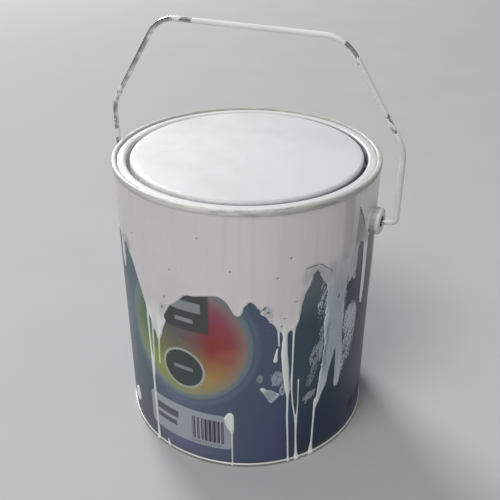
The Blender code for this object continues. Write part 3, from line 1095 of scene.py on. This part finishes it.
def lid_line():
    """The middle of the lid's sheet, from its centre to the end of its curl."""
    panel_z = CAN_HEIGHT - PANEL_DROP - SHEET / 2
    groove_z = CAN_HEIGHT - PLUG_DEPTH
    curl_z = CAN_HEIGHT - LID_CURL_DROP - SHEET / 2
    plug = NECK_RADIUS - SHEET - GAP - 0.05
    groove = PANEL_RADIUS - SHEET / 2
    curl = LID_CURL_RADIUS - SHEET / 2
    curl_foot = CAN_HEIGHT - SHELF_DEPTH + SHEET + GAP
    return [
        (0.0, panel_z),
        (groove, panel_z, PANEL_EDGE),
        (groove, groove_z, 0.7),
        (plug, groove_z, 0.7),
        (plug, curl_z, 1.5),
        (curl, curl_z, 1.0),
        (curl, curl_foot, 0.45),
        (curl - LID_CURL_TUCK, curl_foot),
    ]


def make_lid():
    return turned("lid_sheet", both_faces(rounded(lid_line()), SHEET))


def ear_outside():
    """From the hole's edge, over the face and down the barrel to the flange's edge."""
    return rounded(
        [
            (EAR_HOLE, EAR_FACE - 0.25),
            (EAR_HOLE + 0.25, EAR_FACE, 0.2),
            (EAR_BARREL, EAR_FACE, 2.0),
            (EAR_BARREL, EAR_SEAT + SHEET, 0.8),
            (EAR_FLANGE, EAR_SEAT + SHEET, 0.1),
            (EAR_FLANGE, EAR_SEAT),
        ]
    )


def seated(out, across):
    """Distances out from the can's axis, with the foot of the ear bent to the body's curve."""
    share = np.clip((EAR_SEAT + 2.5 - out) / 2.0, 0, 1)
    return out + (np.sqrt(out**2 - across**2) - out) * share


def make_ear(name, side):
    """A pressed cup whose foot follows the body's curve, turned about the bail's axis."""
    inner = EAR_BARREL - EAR_SHEET
    face = EAR_FACE - EAR_SHEET
    outline = np.vstack([ear_outside(), rounded([(inner, EAR_SEAT), (inner, face, 1.5), (EAR_HOLE, face)])])
    turns = 72
    points = []
    for turn in np.arange(turns) * math.tau / turns:
        across = outline[:, 0] * math.cos(turn)
        up = outline[:, 0] * math.sin(turn)
        points.append(np.stack([side * seated(outline[:, 1], across), across, PIVOT_Z + up], 1))
    return as_object(name, np.vstack(points), ring_faces(turns, len(outline), flip=side < 0))


def make_ear_paint(name, side):
    """A thick ragged skin of paint on the ear's face, its edge and most of the barrel."""
    along, flat = round_the_axis(ear_outside()[::-1], 0.0)
    edge_of_face = along[-1] - (EAR_BARREL - EAR_HOLE) + 0.6

    def place(turn, distance, height):
        points = flat(turn, distance, height)
        out = seated(points[:, 2], points[:, 0])
        return np.stack([side * out, side * points[:, 0], PIVOT_Z + points[:, 1]], 1)

    def depth(turn, distance):
        ragged = ripple(turn, distance, 16, 1.6, 51) * 0.9 + ripple(turn, distance, 7, 0.8, 52) * 0.4
        whole = np.minimum(distance - 0.9, along[-1] - 1.3 - distance)
        low_side = near_turn(turn, 215.0) - 215.0
        bare = np.exp(-((low_side / 48.0) ** 2) - ((distance - 4.4) / 1.9) ** 2) * 4.4
        return np.minimum(whole, 2.4 - bare) + ragged

    def rise(turn, distance, inside):
        edge = np.clip(inside / 0.8, 0, 1)
        bead = np.exp(-((distance - edge_of_face) ** 2))
        wave = 0.06 * ripple(turn, distance, 22, 2.4, 53)
        return np.maximum(edge**0.5 * (0.16 + wave) + edge * bead * 0.30, 0.0)

    rows = spread([0.6, along[-1] - 1.0], 0.45)
    return film(name, np.arange(0, 360, 4.0), rows, place, depth, rise)


# ---- The bail ----


def wire_place(radius):
    """The wire's length, and place(turn round it, along it from its right end, height off this radius)."""
    right = [(WIRE_END, 0.0), (WIRE_LEAVES_AXIS, 0.0, 3.0), *BAIL_BENDS]
    left = [(-point[0], *point[1:]) for point in reversed(right)]
    line = rounded(right + left, 5.0)
    along = arc_lengths(line)
    fine = np.arange(0, along[-1], 0.25)
    tangent = unit(np.gradient(sampled(fine, along, line), axis=0))

    def place(turn, distance, height):
        across, up = sampled(distance, along, line).T
        ahead = unit(sampled(distance, fine, tangent))
        turn = np.radians(turn)
        out = (radius + height) * np.cos(turn)
        beside = (radius + height) * np.sin(turn)
        return np.stack([across + ahead[:, 1] * out, beside, PIVOT_Z + up - ahead[:, 0] * out], 1)

    return along[-1], place


def make_wire():
    """The wire with an upset head on each end, as one closed body."""
    length, place = wire_place(0.0)
    head = [
        (0.0, 0.0),
        (0.0, WIRE_HEAD_RADIUS, 0.5),
        (WIRE_HEAD_LENGTH, WIRE_HEAD_RADIUS, 0.4),
        (WIRE_HEAD_LENGTH, WIRE_RADIUS, 0.3),
        (WIRE_HEAD_LENGTH + 1.0, WIRE_RADIUS),
    ]
    start, reach = rounded(head).T
    inner = spread([start[-1], length - start[-1]], 1.5)[1:-1]
    stations = np.concatenate([start, inner, (length - start)[::-1]])
    radii = np.concatenate([reach, np.full(len(inner), WIRE_RADIUS), reach[::-1]])
    sides = 28
    turn, station = np.meshgrid(np.arange(sides) * 360.0 / sides, stations)
    points = place(turn.ravel(), station.ravel(), np.repeat(radii, sides))
    faces = ring_faces(len(stations), sides, join_last=False)
    return as_object("bail_rod", points, [(a, d, c, b) for a, b, c, d in faces])


# White patches along the wire, from its right end: start, end, and how broken the paint is there
WIRE_PAINT = (
    (6.5, 69, 0.35), (69.5, 78.5, 2.1), (79, 112.5, 0.45), (112, 116, 1.5), (125.5, 222.5, 0.1),
    (231, 236.5, 0.9), (302, 306.5, 1), (308.5, 314, 0.9), (327, 330.5, 1), (334.5, 340.5, 0.9),
    (350, 366, 1.9),
)


def make_wire_paint():
    length, place = wire_place(WIRE_RADIUS)

    def depth(turn, along):
        ragged = ripple(turn, along, 40, 2.2, 5) * 1.2 + ripple(turn, along, 24, 0.9, 6) * 0.5
        whole = (ripple(turn, along, 45, 2.4, 7) + 1.1) * 2.2
        best = np.full(turn.shape, -DEEP)
        for start, end, broken in WIRE_PAINT:
            patch = np.minimum(along - start, end - along) * 0.8 + ragged
            best = np.maximum(best, np.minimum(patch, whole - broken))
        return np.minimum(best, np.minimum(along - 6.2, length - 6.2 - along))

    def rise(turn, along, depth_there):
        edge = np.clip(depth_there / 0.9, 0, 1)
        lumps = 0.05 * (1 + ripple(turn, along, 60, 4.0, 8))
        near_ear = np.clip((26.0 - along) / 8.0, 0, 1)
        lumps += near_ear * 0.16 * np.clip(ripple(turn, along, 70, 3.0, 9) + 0.2, 0, 1)
        bead = np.hypot((along - 13.5) / 2.2, near_turn(turn, 0.0) / 60.0)
        lumps += 0.5 * np.clip(1 - bead * bead, 0, 1)
        return 0.18 * np.sqrt(1 - (1 - edge) ** 2) + lumps * edge

    rows = spread([6.0, length - 6.0], 0.8)
    return film("bail_paint", np.arange(0, 360, 15.0), rows, place, depth, rise)


# ---- Paint on the can and the lid ----

# The lower edge of the coat, once round the can: degrees and mm above the foot
COAT_EDGE = (
    (-158, 141), (-152, 136), (-147, 148), (-142, 151), (-137, 148), (-134, 150), (-132.6, 129),
    (-131, 124.5), (-129.6, 128), (-128.6, 143), (-127, 147.5), (-124, 143), (-121, 138), (-118, 130),
    (-115, 121), (-112.4, 113), (-111, 108), (-109.8, 105), (-108.2, 101.5), (-107, 95), (-106, 91.5),
    (-105, 90.5), (-103.8, 93), (-102.2, 98), (-101.2, 104), (-100, 112), (-98, 119), (-95, 123),
    (-92, 127), (-89.5, 130.6), (-85, 131.4), (-80, 133.5), (-76, 134), (-73, 132), (-70.6, 127.5),
    (-69, 122.6), (-67.5, 121.3), (-66, 122.6), (-64.6, 128), (-63, 131), (-61.5, 131), (-60, 127),
    (-58, 122), (-55.5, 118), (-53, 114), (-51.5, 111), (-50, 109), (-48, 107), (-46, 108.6),
    (-44.6, 108.4), (-43.5, 110.5), (-42.4, 114), (-41.8, 119), (-41.2, 125), (-40.2, 130.5), (-38.6, 136),
    (-37.4, 141), (-36.2, 145.6), (-34.8, 147), (-33.4, 145), (-32.4, 141), (-31.2, 137.5), (-29.6, 136),
    (-26, 136), (-21, 134), (-18.6, 131.5), (-17.2, 133), (-16.2, 129.5), (-14.4, 130.6), (-12.6, 126.8),
    (-11.5, 130), (-11.2, 140), (-10.9, 149), (-9.4, 151.5), (-7.6, 150.5), (-6.6, 149), (-4, 147),
    (-1.6, 149.5), (1, 153), (5, 154.5), (8.5, 151), (11, 141), (13, 133), (14.6, 131), (16.2, 134),
    (18, 138), (19.4, 133), (20.4, 122), (21.6, 115), (23, 114), (24.6, 119), (26, 130), (29, 139),
    (33, 146), (38, 150), (44, 151), (50, 148), (54, 141), (57, 127), (59, 108), (60.6, 98), (62, 95.5),
    (63.6, 99), (65, 111), (67, 124), (69.4, 131), (72, 132), (74, 128), (75.6, 124), (77.4, 127),
    (79, 135), (83, 143), (90, 148), (98, 146), (104, 139), (108, 131), (113, 127), (118, 129), (121, 125),
    (123, 113), (124.6, 100), (126, 88), (127.6, 83), (129.4, 87), (131, 99), (132.6, 113), (134, 121),
    (136.4, 124), (138.4, 120), (139.8, 112), (141.2, 109.5), (142.6, 113), (144.4, 125), (147, 136),
    (152, 145), (160, 150), (168, 151), (175, 146), (179, 137), (181, 128), (183, 125), (185, 130),
    (188, 140), (193, 145), (197, 143), (200, 142),
)

# Runs of paint: (degrees, mm, half width) points from the top down, and the height of the bead
RUNS = (
    (((-111.2, 112, 1), (-111.3, 100, 0.8), (-111, 82, 0.7), (-110.6, 62, 0.9), (-110.5, 40, 0.9),
      (-110.4, 14, 0.8), (-110.3, 3, 1.4), (-110.3, 1.2, 1.6)), 0.55),
    (((-108.6, 108, 0.9), (-108.6, 96, 0.6), (-109, 78, 0.5), (-109.8, 64, 0.6), (-110.3, 58, 0.7)), 0.45),
    (((-104.9, 96, 1.4), (-105, 88, 0.6), (-105.4, 76, 0.45), (-105.5, 70.5, 0.5)), 0.4),
    (((-51.2, 114, 0.9), (-50.9, 105, 0.6), (-50.7, 98.5, 0.45)), 0.4),
    (((-51.4, 96.5, 0.45), (-51.9, 91, 1), (-52.1, 87.5, 1.35)), 0.45),
    (((-48.3, 116, 1.8), (-48.2, 104, 1.5), (-48.3, 92, 2.1), (-47.6, 80, 2.2), (-47.1, 70, 1.8),
      (-46.5, 62.5, 1.5), (-46.3, 57, 0.75), (-46.2, 40, 0.7), (-45.6, 20, 0.6), (-45.2, 5, 0.6),
      (-45.2, 1.2, 1.1)), 0.6),
    (((-44.4, 113, 1), (-44.5, 104, 0.65), (-44.6, 82, 0.45), (-44.7, 70, 0.65), (-44.5, 62, 0.5),
      (-43.8, 50, 0.5), (-42.6, 39, 0.5), (-41.9, 32, 0.8), (-41.7, 20, 0.65), (-41.3, 7, 0.95),
      (-41.1, 1.2, 1.9)), 0.55),
    (((-41.5, 69, 0.55), (-41.5, 64, 0.35), (-41.4, 50, 0.35), (-41.7, 34, 0.45)), 0.38),
    (((-32.4, 47, 1.3), (-32.7, 41, 0.8), (-33, 28, 0.65), (-33.2, 12, 0.7), (-33.5, 5, 1.5),
      (-33.6, 1.2, 2.3)), 0.5),
    (((-70.9, 44, 1.4), (-70.5, 34, 0.8), (-70.6, 24, 0.5), (-70.6, 2, 0.5), (-70.6, 1.2, 0.8)), 0.42),
    (((-103.8, 6, 0.5), (-103.2, 3.4, 0.9), (-102.4, 1.4, 0.7)), 0.35),
    (((22.4, 124, 2.2), (22.3, 110, 1.3), (22.6, 84, 0.8), (22.4, 52, 0.7), (22.6, 38, 0.8),
      (22.6, 34, 1.3)), 0.5),
    (((14.6, 138, 1.6), (14.6, 128, 0.8), (14.7, 108, 0.5), (14.7, 101, 0.7)), 0.45),
    (((62, 108, 2.6), (61.8, 92, 1.5), (61.4, 70, 0.9), (61.2, 36, 0.7), (61.1, 12, 0.7),
      (61.1, 1.2, 1.7)), 0.6),
    (((64.6, 104, 1.2), (65, 88, 0.6), (65, 76, 0.5), (65, 71, 0.8)), 0.42),
    (((75.6, 130, 1.6), (75.5, 116, 0.7), (75.2, 96, 0.5), (75.2, 90, 0.8)), 0.42),
    (((113, 132, 1.8), (113.2, 118, 0.7), (113.4, 102, 0.5), (113.4, 98, 0.7)), 0.42),
    (((127.6, 94, 3), (127.4, 78, 1.9), (127.8, 58, 1.1), (128.2, 30, 0.8), (128.4, 8, 0.9),
      (128.4, 1.2, 2.2)), 0.65),
    (((130.6, 92, 1.1), (130.2, 74, 0.6), (129.4, 60, 0.5), (128.6, 52, 0.6)), 0.42),
    (((141.2, 118, 1.9), (141.3, 102, 0.9), (141.1, 66, 0.6), (141.1, 46, 0.6), (141.1, 41, 1)), 0.48),
    (((183, 134, 2), (183.1, 118, 0.9), (183.4, 88, 0.6), (183.3, 62, 0.6), (183.3, 57, 0.9)), 0.48),
    (((207.6, 145, 1.8), (207.8, 126, 0.9), (208, 104, 0.6), (208, 98, 0.9)), 0.45),
)

# Where the coat is thin: degrees, mm above the foot, half width and half height in mm, and how thin
THIN_PLACES = (
    (-24.2, 98, 10.5, 56, 0.46), (-22, 132, 8, 18, 0.3), (-15.4, 139, 6, 15, 0.4),
    (-28.8, 88, 2.2, 24, 0.8), (-16.5, 163, 6, 18, 0.2), (-40.8, 124, 3.6, 15, 0.32),
    (-36.5, 143, 9, 10, 0.42), (-28.5, 139, 7, 12, 0.38), (-101.8, 112, 3, 9, 0.3),
    (-107.2, 98, 3.2, 12, 0.4), (-57.5, 121, 4, 8, 0.4), (-54.5, 60.5, 5.5, 6, 0.62),
    (-128, 146, 8, 6, 0.5), (26, 132, 4, 9, 0.7), (44, 151, 10, 6, 0.6), (57, 128, 3, 12, 0.6),
    (79, 136, 4, 8, 0.7), (99, 145, 12, 5, 0.6), (123, 112, 3, 12, 0.6), (146, 132, 3.5, 9, 0.7),
    (168, 151, 9, 5, 0.6), (-162, 143, 8, 6, 0.6),
)

# Where the coat's edge is dragged and broken: the same four numbers, and how far in mm
ROUGH_PLACES = (
    (-102, 108, 6, 14, 1.3), (-107, 100, 4, 10, 0.9), (-56.5, 121, 8, 11, 1.4), (-15, 130, 6.5, 7, 1.8),
    (-30.6, 96, 4, 44, 0.9), (-17.9, 100, 2.5, 46, 0.5), (-130, 142, 12, 12, 1.1), (-62.5, 130, 4, 4, 0.7),
    (-34.5, 144, 4, 5, 0.9), (-4, 108, 3, 8, 0.8), (5, 154, 10, 5, 1.2), (26, 132, 5, 12, 1.2),
    (44, 150, 14, 6, 1.5), (57, 126, 4, 14, 1), (80, 136, 5, 10, 1.2), (97, 146, 14, 6, 1.6),
    (116, 128, 6, 5, 1.2), (146, 130, 5, 12, 1.2), (168, 150, 12, 6, 1.4),
)

# Separate patches and strokes of paint, as outlines
PATCHES = (
    ((-74, 41), (-73.2, 44.2), (-71.8, 46.6), (-70.5, 46), (-69.9, 42.5), (-69.9, 36), (-70.1, 31),
     (-71.4, 30.6), (-73.2, 35.5)),
    ((-134.2, 19), (-132.5, 24.5), (-129.5, 27), (-127.4, 23), (-127.6, 17), (-130, 14), (-133, 14.6)),
    ((-58.6, 66.8), (-57.1, 67.4), (-55.4, 65.2), (-53.4, 64.6), (-51.6, 62.4), (-50, 60.2), (-51.6, 56.9),
     (-53.8, 54.4), (-55.4, 58), (-56.8, 62)),
    ((-5.9, 149.5), (-3.8, 150.6), (-2, 149), (-1.8, 138), (-1.9, 126), (-2.2, 115), (-3.1, 107),
     (-3.8, 103.4), (-4.8, 104.6), (-5.5, 112), (-5.4, 125), (-5.7, 138)),
    ((-30.6, 141), (-29.4, 131), (-29.6, 120), (-29.9, 110), (-29.8, 100), (-29.4, 92), (-29.8, 80),
     (-30.6, 69), (-31.4, 58), (-32, 50), (-32.8, 42), (-32, 41), (-30.6, 45), (-29.4, 50), (-28, 54),
     (-26.6, 58), (-26.1, 63), (-25.4, 69), (-24, 75), (-22.4, 82.6), (-22, 75), (-21.8, 62), (-21.5, 51),
     (-20.2, 49.8), (-18.6, 52), (-18, 60), (-17.9, 74), (-18.2, 90), (-18.5, 106), (-18.5, 121),
     (-18, 135), (-20, 145), (-26, 147)),
)


def wall_line():
    """The outside of the can that paint can lie on: base seam, label, top seam and the seam's inner side."""
    inner = CHUCK_WALL - SHEET / 2
    return rounded(
        [
            (SEAM_RADIUS, 0.35),
            (SEAM_RADIUS, SEAM_HEIGHT, 0.4),
            (LABEL_RADIUS, SEAM_HEIGHT + 0.55, 0.5),
            (LABEL_RADIUS, LABEL_HIGH - 0.2, 1.2),
            (SEAM_RADIUS, CAN_HEIGHT - SEAM_HEIGHT + 0.15, 0.6),
            (SEAM_RADIUS, CAN_HEIGHT, 0.85),
            (inner, CAN_HEIGHT, 0.85),
            (inner, CAN_HEIGHT - 3.6),
        ]
    )


def fine_columns():
    """Turns round the can, closer together across the runs of paint and on the side that the camera sees."""
    marks, coarse = [], []
    for start, end, step, run_step in ((-140.0, 12.0, 0.84, 0.25), (12.0, 220.0, 1.5, 0.35)):
        coarse += np.arange(start, end - 0.1, step).tolist()
        for run, _ in RUNS:
            turns = [point[0] for point in run]
            if start < turns[0] < end:
                marks += np.arange(min(turns) - 1.0, max(turns) + 1.0, run_step).tolist()
    marks = np.sort(near_turn(np.array(marks), 0.0))
    marks = marks[np.diff(marks, prepend=-np.inf) > 0.12]
    coarse = near_turn(np.array(coarse), 0.0)
    clear = np.array([np.min(np.abs(marks - turn)) > 0.35 for turn in coarse])
    return np.sort(np.concatenate([coarse[clear], marks]))


def make_can_paint():
    line = wall_line()
    # Arc lengths are counted so that they are heights on the straight wall
    on_straight = int(np.argmax(line[:, 1] > LABEL_LOW + 1.5))
    along, place = round_the_axis(line, line[on_straight, 1] - arc_lengths(line)[on_straight])

    def depth(u, v):
        bitten = ripple(u, v, 1.6, 2.5, 11) * 0.22 + ripple(u, v, 5.0, 7.0, 12) * 0.45
        torn = ripple(u, v, 1.1, 2.2, 14) * 0.8 + ripple(u, v, 0.6, 1.1, 15) * 0.5
        torn = torn * strongest(u, v, ROUGH_PLACES)
        best = inside_outline(u, v, COAT_EDGE, closed=False) + bitten + torn
        for outline in PATCHES:
            best = joined(best, inside_outline(u, v, outline) + torn, 1.0)
        for run, _ in RUNS:
            best = joined(best, along_run(u, v, run)[0], 1.6)
        best = np.minimum(best, clear_of_ears(u, v, EAR_BARREL + PAINT_EAR_GAP))
        return np.minimum(best, np.minimum(along[-1] - v, v - along[0]))

    def thin(u, v):
        return strongest(u, v, THIN_PLACES)

    def rise(u, v, d):
        edge = np.clip(d / 1.1, 0, 1)
        body = 0.26 + 0.20 * np.exp(-(((d - 1.0) / 1.3) ** 2))
        height = body * (1 - 0.55 * thin(u, v)) * np.sqrt(1 - (1 - edge) ** 2)
        height += edge * (0.05 * ripple(u, v, 7.0, 22.0, 21) + 0.035 * ripple(u, v, 1.8, 40.0, 22))
        on_rim = np.clip((v - LABEL_HIGH + 1.0) / 1.5, 0, 1)
        height += edge * on_rim * (0.07 * ripple(u, v, 2.2, 1.3, 23) + 0.05 * ripple(u, v, 6.0, 2.5, 24))
        for run, peak in RUNS:
            share = along_run(u, v, run)[1]
            grown = np.clip((run[0][1] - v) / 9.0, 0, 1)
            height = np.maximum(height, height * 0.5 + peak * np.sqrt(share) * grown * edge**0.25)
        return np.maximum(height, 0.02)

    foot, plain = 3.6, 155.0
    rows = np.concatenate(
        [
            spread([along[0], foot], 0.8),
            spread([foot, plain], 1.34)[1:],
            spread([plain, LABEL_HIGH - 1.5], 4.0)[1:],
            spread(along[along > LABEL_HIGH - 1.4], 1.25),
        ]
    )
    loops = (0.0, 0.2, 0.6, 1.3)
    return film("can_paint", fine_columns(), rows, place, depth, rise, thin=thin, loops=loops)


def make_lid_paint():
    """The film over the lid's upper side, from its middle over the groove to its curl."""
    middle, edge, groove, plug, collar, curl, curl_foot, _ = lid_line()
    half = SHEET / 2
    top = [
        (0.0, middle[1] + half),
        (PANEL_RADIUS, edge[1] + half, PANEL_EDGE + half),
        (PANEL_RADIUS, groove[1] + half, 0.9),
        (plug[0] - half, plug[1] + half, 0.9),
        (collar[0] - half, collar[1] + half, 1.6),
        (LID_CURL_RADIUS, curl[1] + half, 1.1),
        (LID_CURL_RADIUS, curl_foot[1] + 0.9),
    ]
    along, place = round_the_axis(rounded(top)[::-1], 0.0)

    def depth(u, v):
        ragged = 0.5 * ripple(u, v, 9.0, 3.0, 31)
        return np.minimum(v - 0.6 + ragged, along[-1] - v + 2.0)

    def rise(u, v, d):
        wave = 0.05 * ripple(u, v, 14.0, 11.0, 32) + 0.03 * ripple(u, v, 5.0, 4.0, 33)
        wave = wave * np.clip((along[-1] - v) / 20.0, 0, 1)
        return np.clip(d / 0.9, 0, 1) ** 0.5 * (0.22 + wave)

    turns = np.arange(0, 360, 1.25)
    return film("lid_paint", turns, spread(along, 2.5), place, depth, rise, loops=(0.0, 0.25, 0.9))


# ---- The label ----


def paper(name, radius, turns, rows, depth, rise):
    """A sheet of paper that lies at this radius round the can."""
    _, place = round_the_axis([(radius, LABEL_LOW), (radius, LABEL_HIGH)], LABEL_LOW)
    return film(name, turns, rows, place, depth, rise, loops=(0.0, 0.1), lift=0.0)


def make_label():
    """The paper round the body, with a hole for each ear."""

    def depth(u, v):
        return np.minimum(np.minimum(v - LABEL_LOW, LABEL_HIGH - v), clear_of_ears(u, v, LABEL_EAR_HOLE))

    def rise(u, v, d):
        return np.full(len(u), LABEL_THICKNESS)

    rows = np.concatenate([spread([LABEL_LOW, 148.0], 4.0), spread([148.0, LABEL_HIGH], 1.5)[1:]])
    return paper("label_paper", LABEL_RADIUS - LABEL_THICKNESS, np.arange(0, 360, 1.0), rows, depth, rise)


def make_lap():
    """The glued end of the label, one paper thickness up, at the back."""
    middle = LAP_START + LAP_DEG / 2

    def depth(u, v):
        aside = (LAP_DEG / 2 - np.abs(near_turn(u, middle) - middle)) * ARC
        ragged = aside + 0.05 * ripple(u, v, 3.0, 9.0, 41)
        return np.minimum(ragged, np.minimum(v - LABEL_LOW, LABEL_HIGH - v))

    def rise(u, v, d):
        return LABEL_THICKNESS + 0.1 * np.clip(ripple(u, v, 6.0, 30.0, 42), 0, 1)

    rows = spread([LABEL_LOW, LABEL_HIGH], 4.0)
    return paper("label_lap", LABEL_RADIUS + 0.01, np.arange(-180, 180, 1.0), rows, depth, rise)


# ---- Assembly ----


def coated(piece, material):
    piece.data.materials.clear()
    piece.data.materials.append(material)


def finished(piece, body, material, slot, *replaced):
    """Give a piece its material and body, and hide the CAD nodes that it stands for. The slot argument is
    not used.
    """
    coated(piece, material)
    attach(piece, body)
    if replaced:
        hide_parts(*replaced)


def build():
    metal = bright_metal()
    label = label_print()
    ear = painted_ear()
    ear_white = ear_paint()
    wire_white = dried_white("paint_wire", (0.82, 0.815, 0.81)).material
    compound = sealing()

    finished(make_body(), "can", dull_metal(), "tinplate", "body_shell")
    finished(make_base(), "can", base_metal(), "tinplate", "base_end")
    finished(make_ring(), "can", metal, "tinplate", "top_ring")
    finished(make_lid(), "lid", metal, "white_paint", "lever_lid")
    for side, word in ((1, "right"), (-1, "left")):
        finished(make_ear("ear_cup_" + word, side), "can", ear, "ear_steel", "ear_" + word)
    finished(make_wire(), "bail", bare_wire(), "wire_steel", "bail_wire")
    finished(make_label(), "can", label, "label_print", "label_wrap")
    finished(make_lap(), "can", label, "label_print")
    finished(make_can_paint(), "can", coat_paint(), "white_paint")
    finished(make_lid_paint(), "lid", lid_paint(), "white_paint")
    for side, word in ((1, "right"), (-1, "left")):
        finished(make_ear_paint("ear_paint_" + word, side), "can", ear_white, "white_paint")
    finished(make_wire_paint(), "bail", wire_white, "white_paint")
    for node in ("base_seam_compound", "top_seam_compound"):
        coated(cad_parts[node], compound)


# ---- Stage ----


def placed(name, data, location, heading):
    """A light or a camera that looks along its heading."""
    made = bpy.data.objects.new(name, data)
    made.location = location
    made.rotation_mode = "QUATERNION"
    made.rotation_quaternion = Vector(heading).to_track_quat("-Z", "Y")
    bpy.context.scene.collection.objects.link(made)
    return made


def make_floor():
    mesh = bpy.data.meshes.new("floor")
    reach = 25.0
    corners = [(-reach, -reach, 0), (reach, -reach, 0), (reach, reach, 0), (-reach, reach, 0)]
    mesh.from_pydata(corners, [], [(0, 1, 2, 3)])
    floor = bpy.data.objects.new("floor", mesh)
    bpy.context.scene.collection.objects.link(floor)
    made = Surface("floor_pale", (0.46, 0.46, 0.47))
    grain = made.noise(0.01)
    made.over(grain, (0.50, 0.50, 0.50))
    made.set("Roughness", grain.scaled(0.8, 0.95))
    made.set("Specular IOR Level", 0.1)
    floor.data.materials.append(made.material)


def area_light(name, place, target, size, power, colour):
    light = bpy.data.lights.new(name, "AREA")
    light.shape = "DISK"
    light.size = size
    light.energy = power
    light.color = colour
    placed(name, light, place, Vector(target) - Vector(place))


def make_lights():
    area_light("key_above", (-0.16, -1.05, 1.80), (0, 0, 0.12), 1.0, 21.3, (1.0, 0.985, 0.975))
    area_light("back_left", (-3.90, 2.94, 2.55), (0, 0, 0.19), 2.1, 284.0, (1.0, 1.0, 1.0))
    world = bpy.data.worlds.new("studio")
    world.use_nodes = True
    background = world.node_tree.nodes["Background"]
    background.inputs["Color"].default_value = (0.92, 0.93, 0.95, 1)
    background.inputs["Strength"].default_value = 0.255
    bpy.context.scene.world = world


def make_camera():
    lens = bpy.data.cameras.new("camera")
    lens.sensor_width = 36.0
    lens.lens = 50.55
    lens.clip_start = 0.01
    heading = (-0.3794, 0.7788, -0.49956)
    bpy.context.scene.camera = placed("camera", lens, (0.1842, -0.3737, 0.3580), heading)


make_camera()
make_floor()
make_lights()
bpy.context.scene.view_settings.view_transform = "Standard"
build()
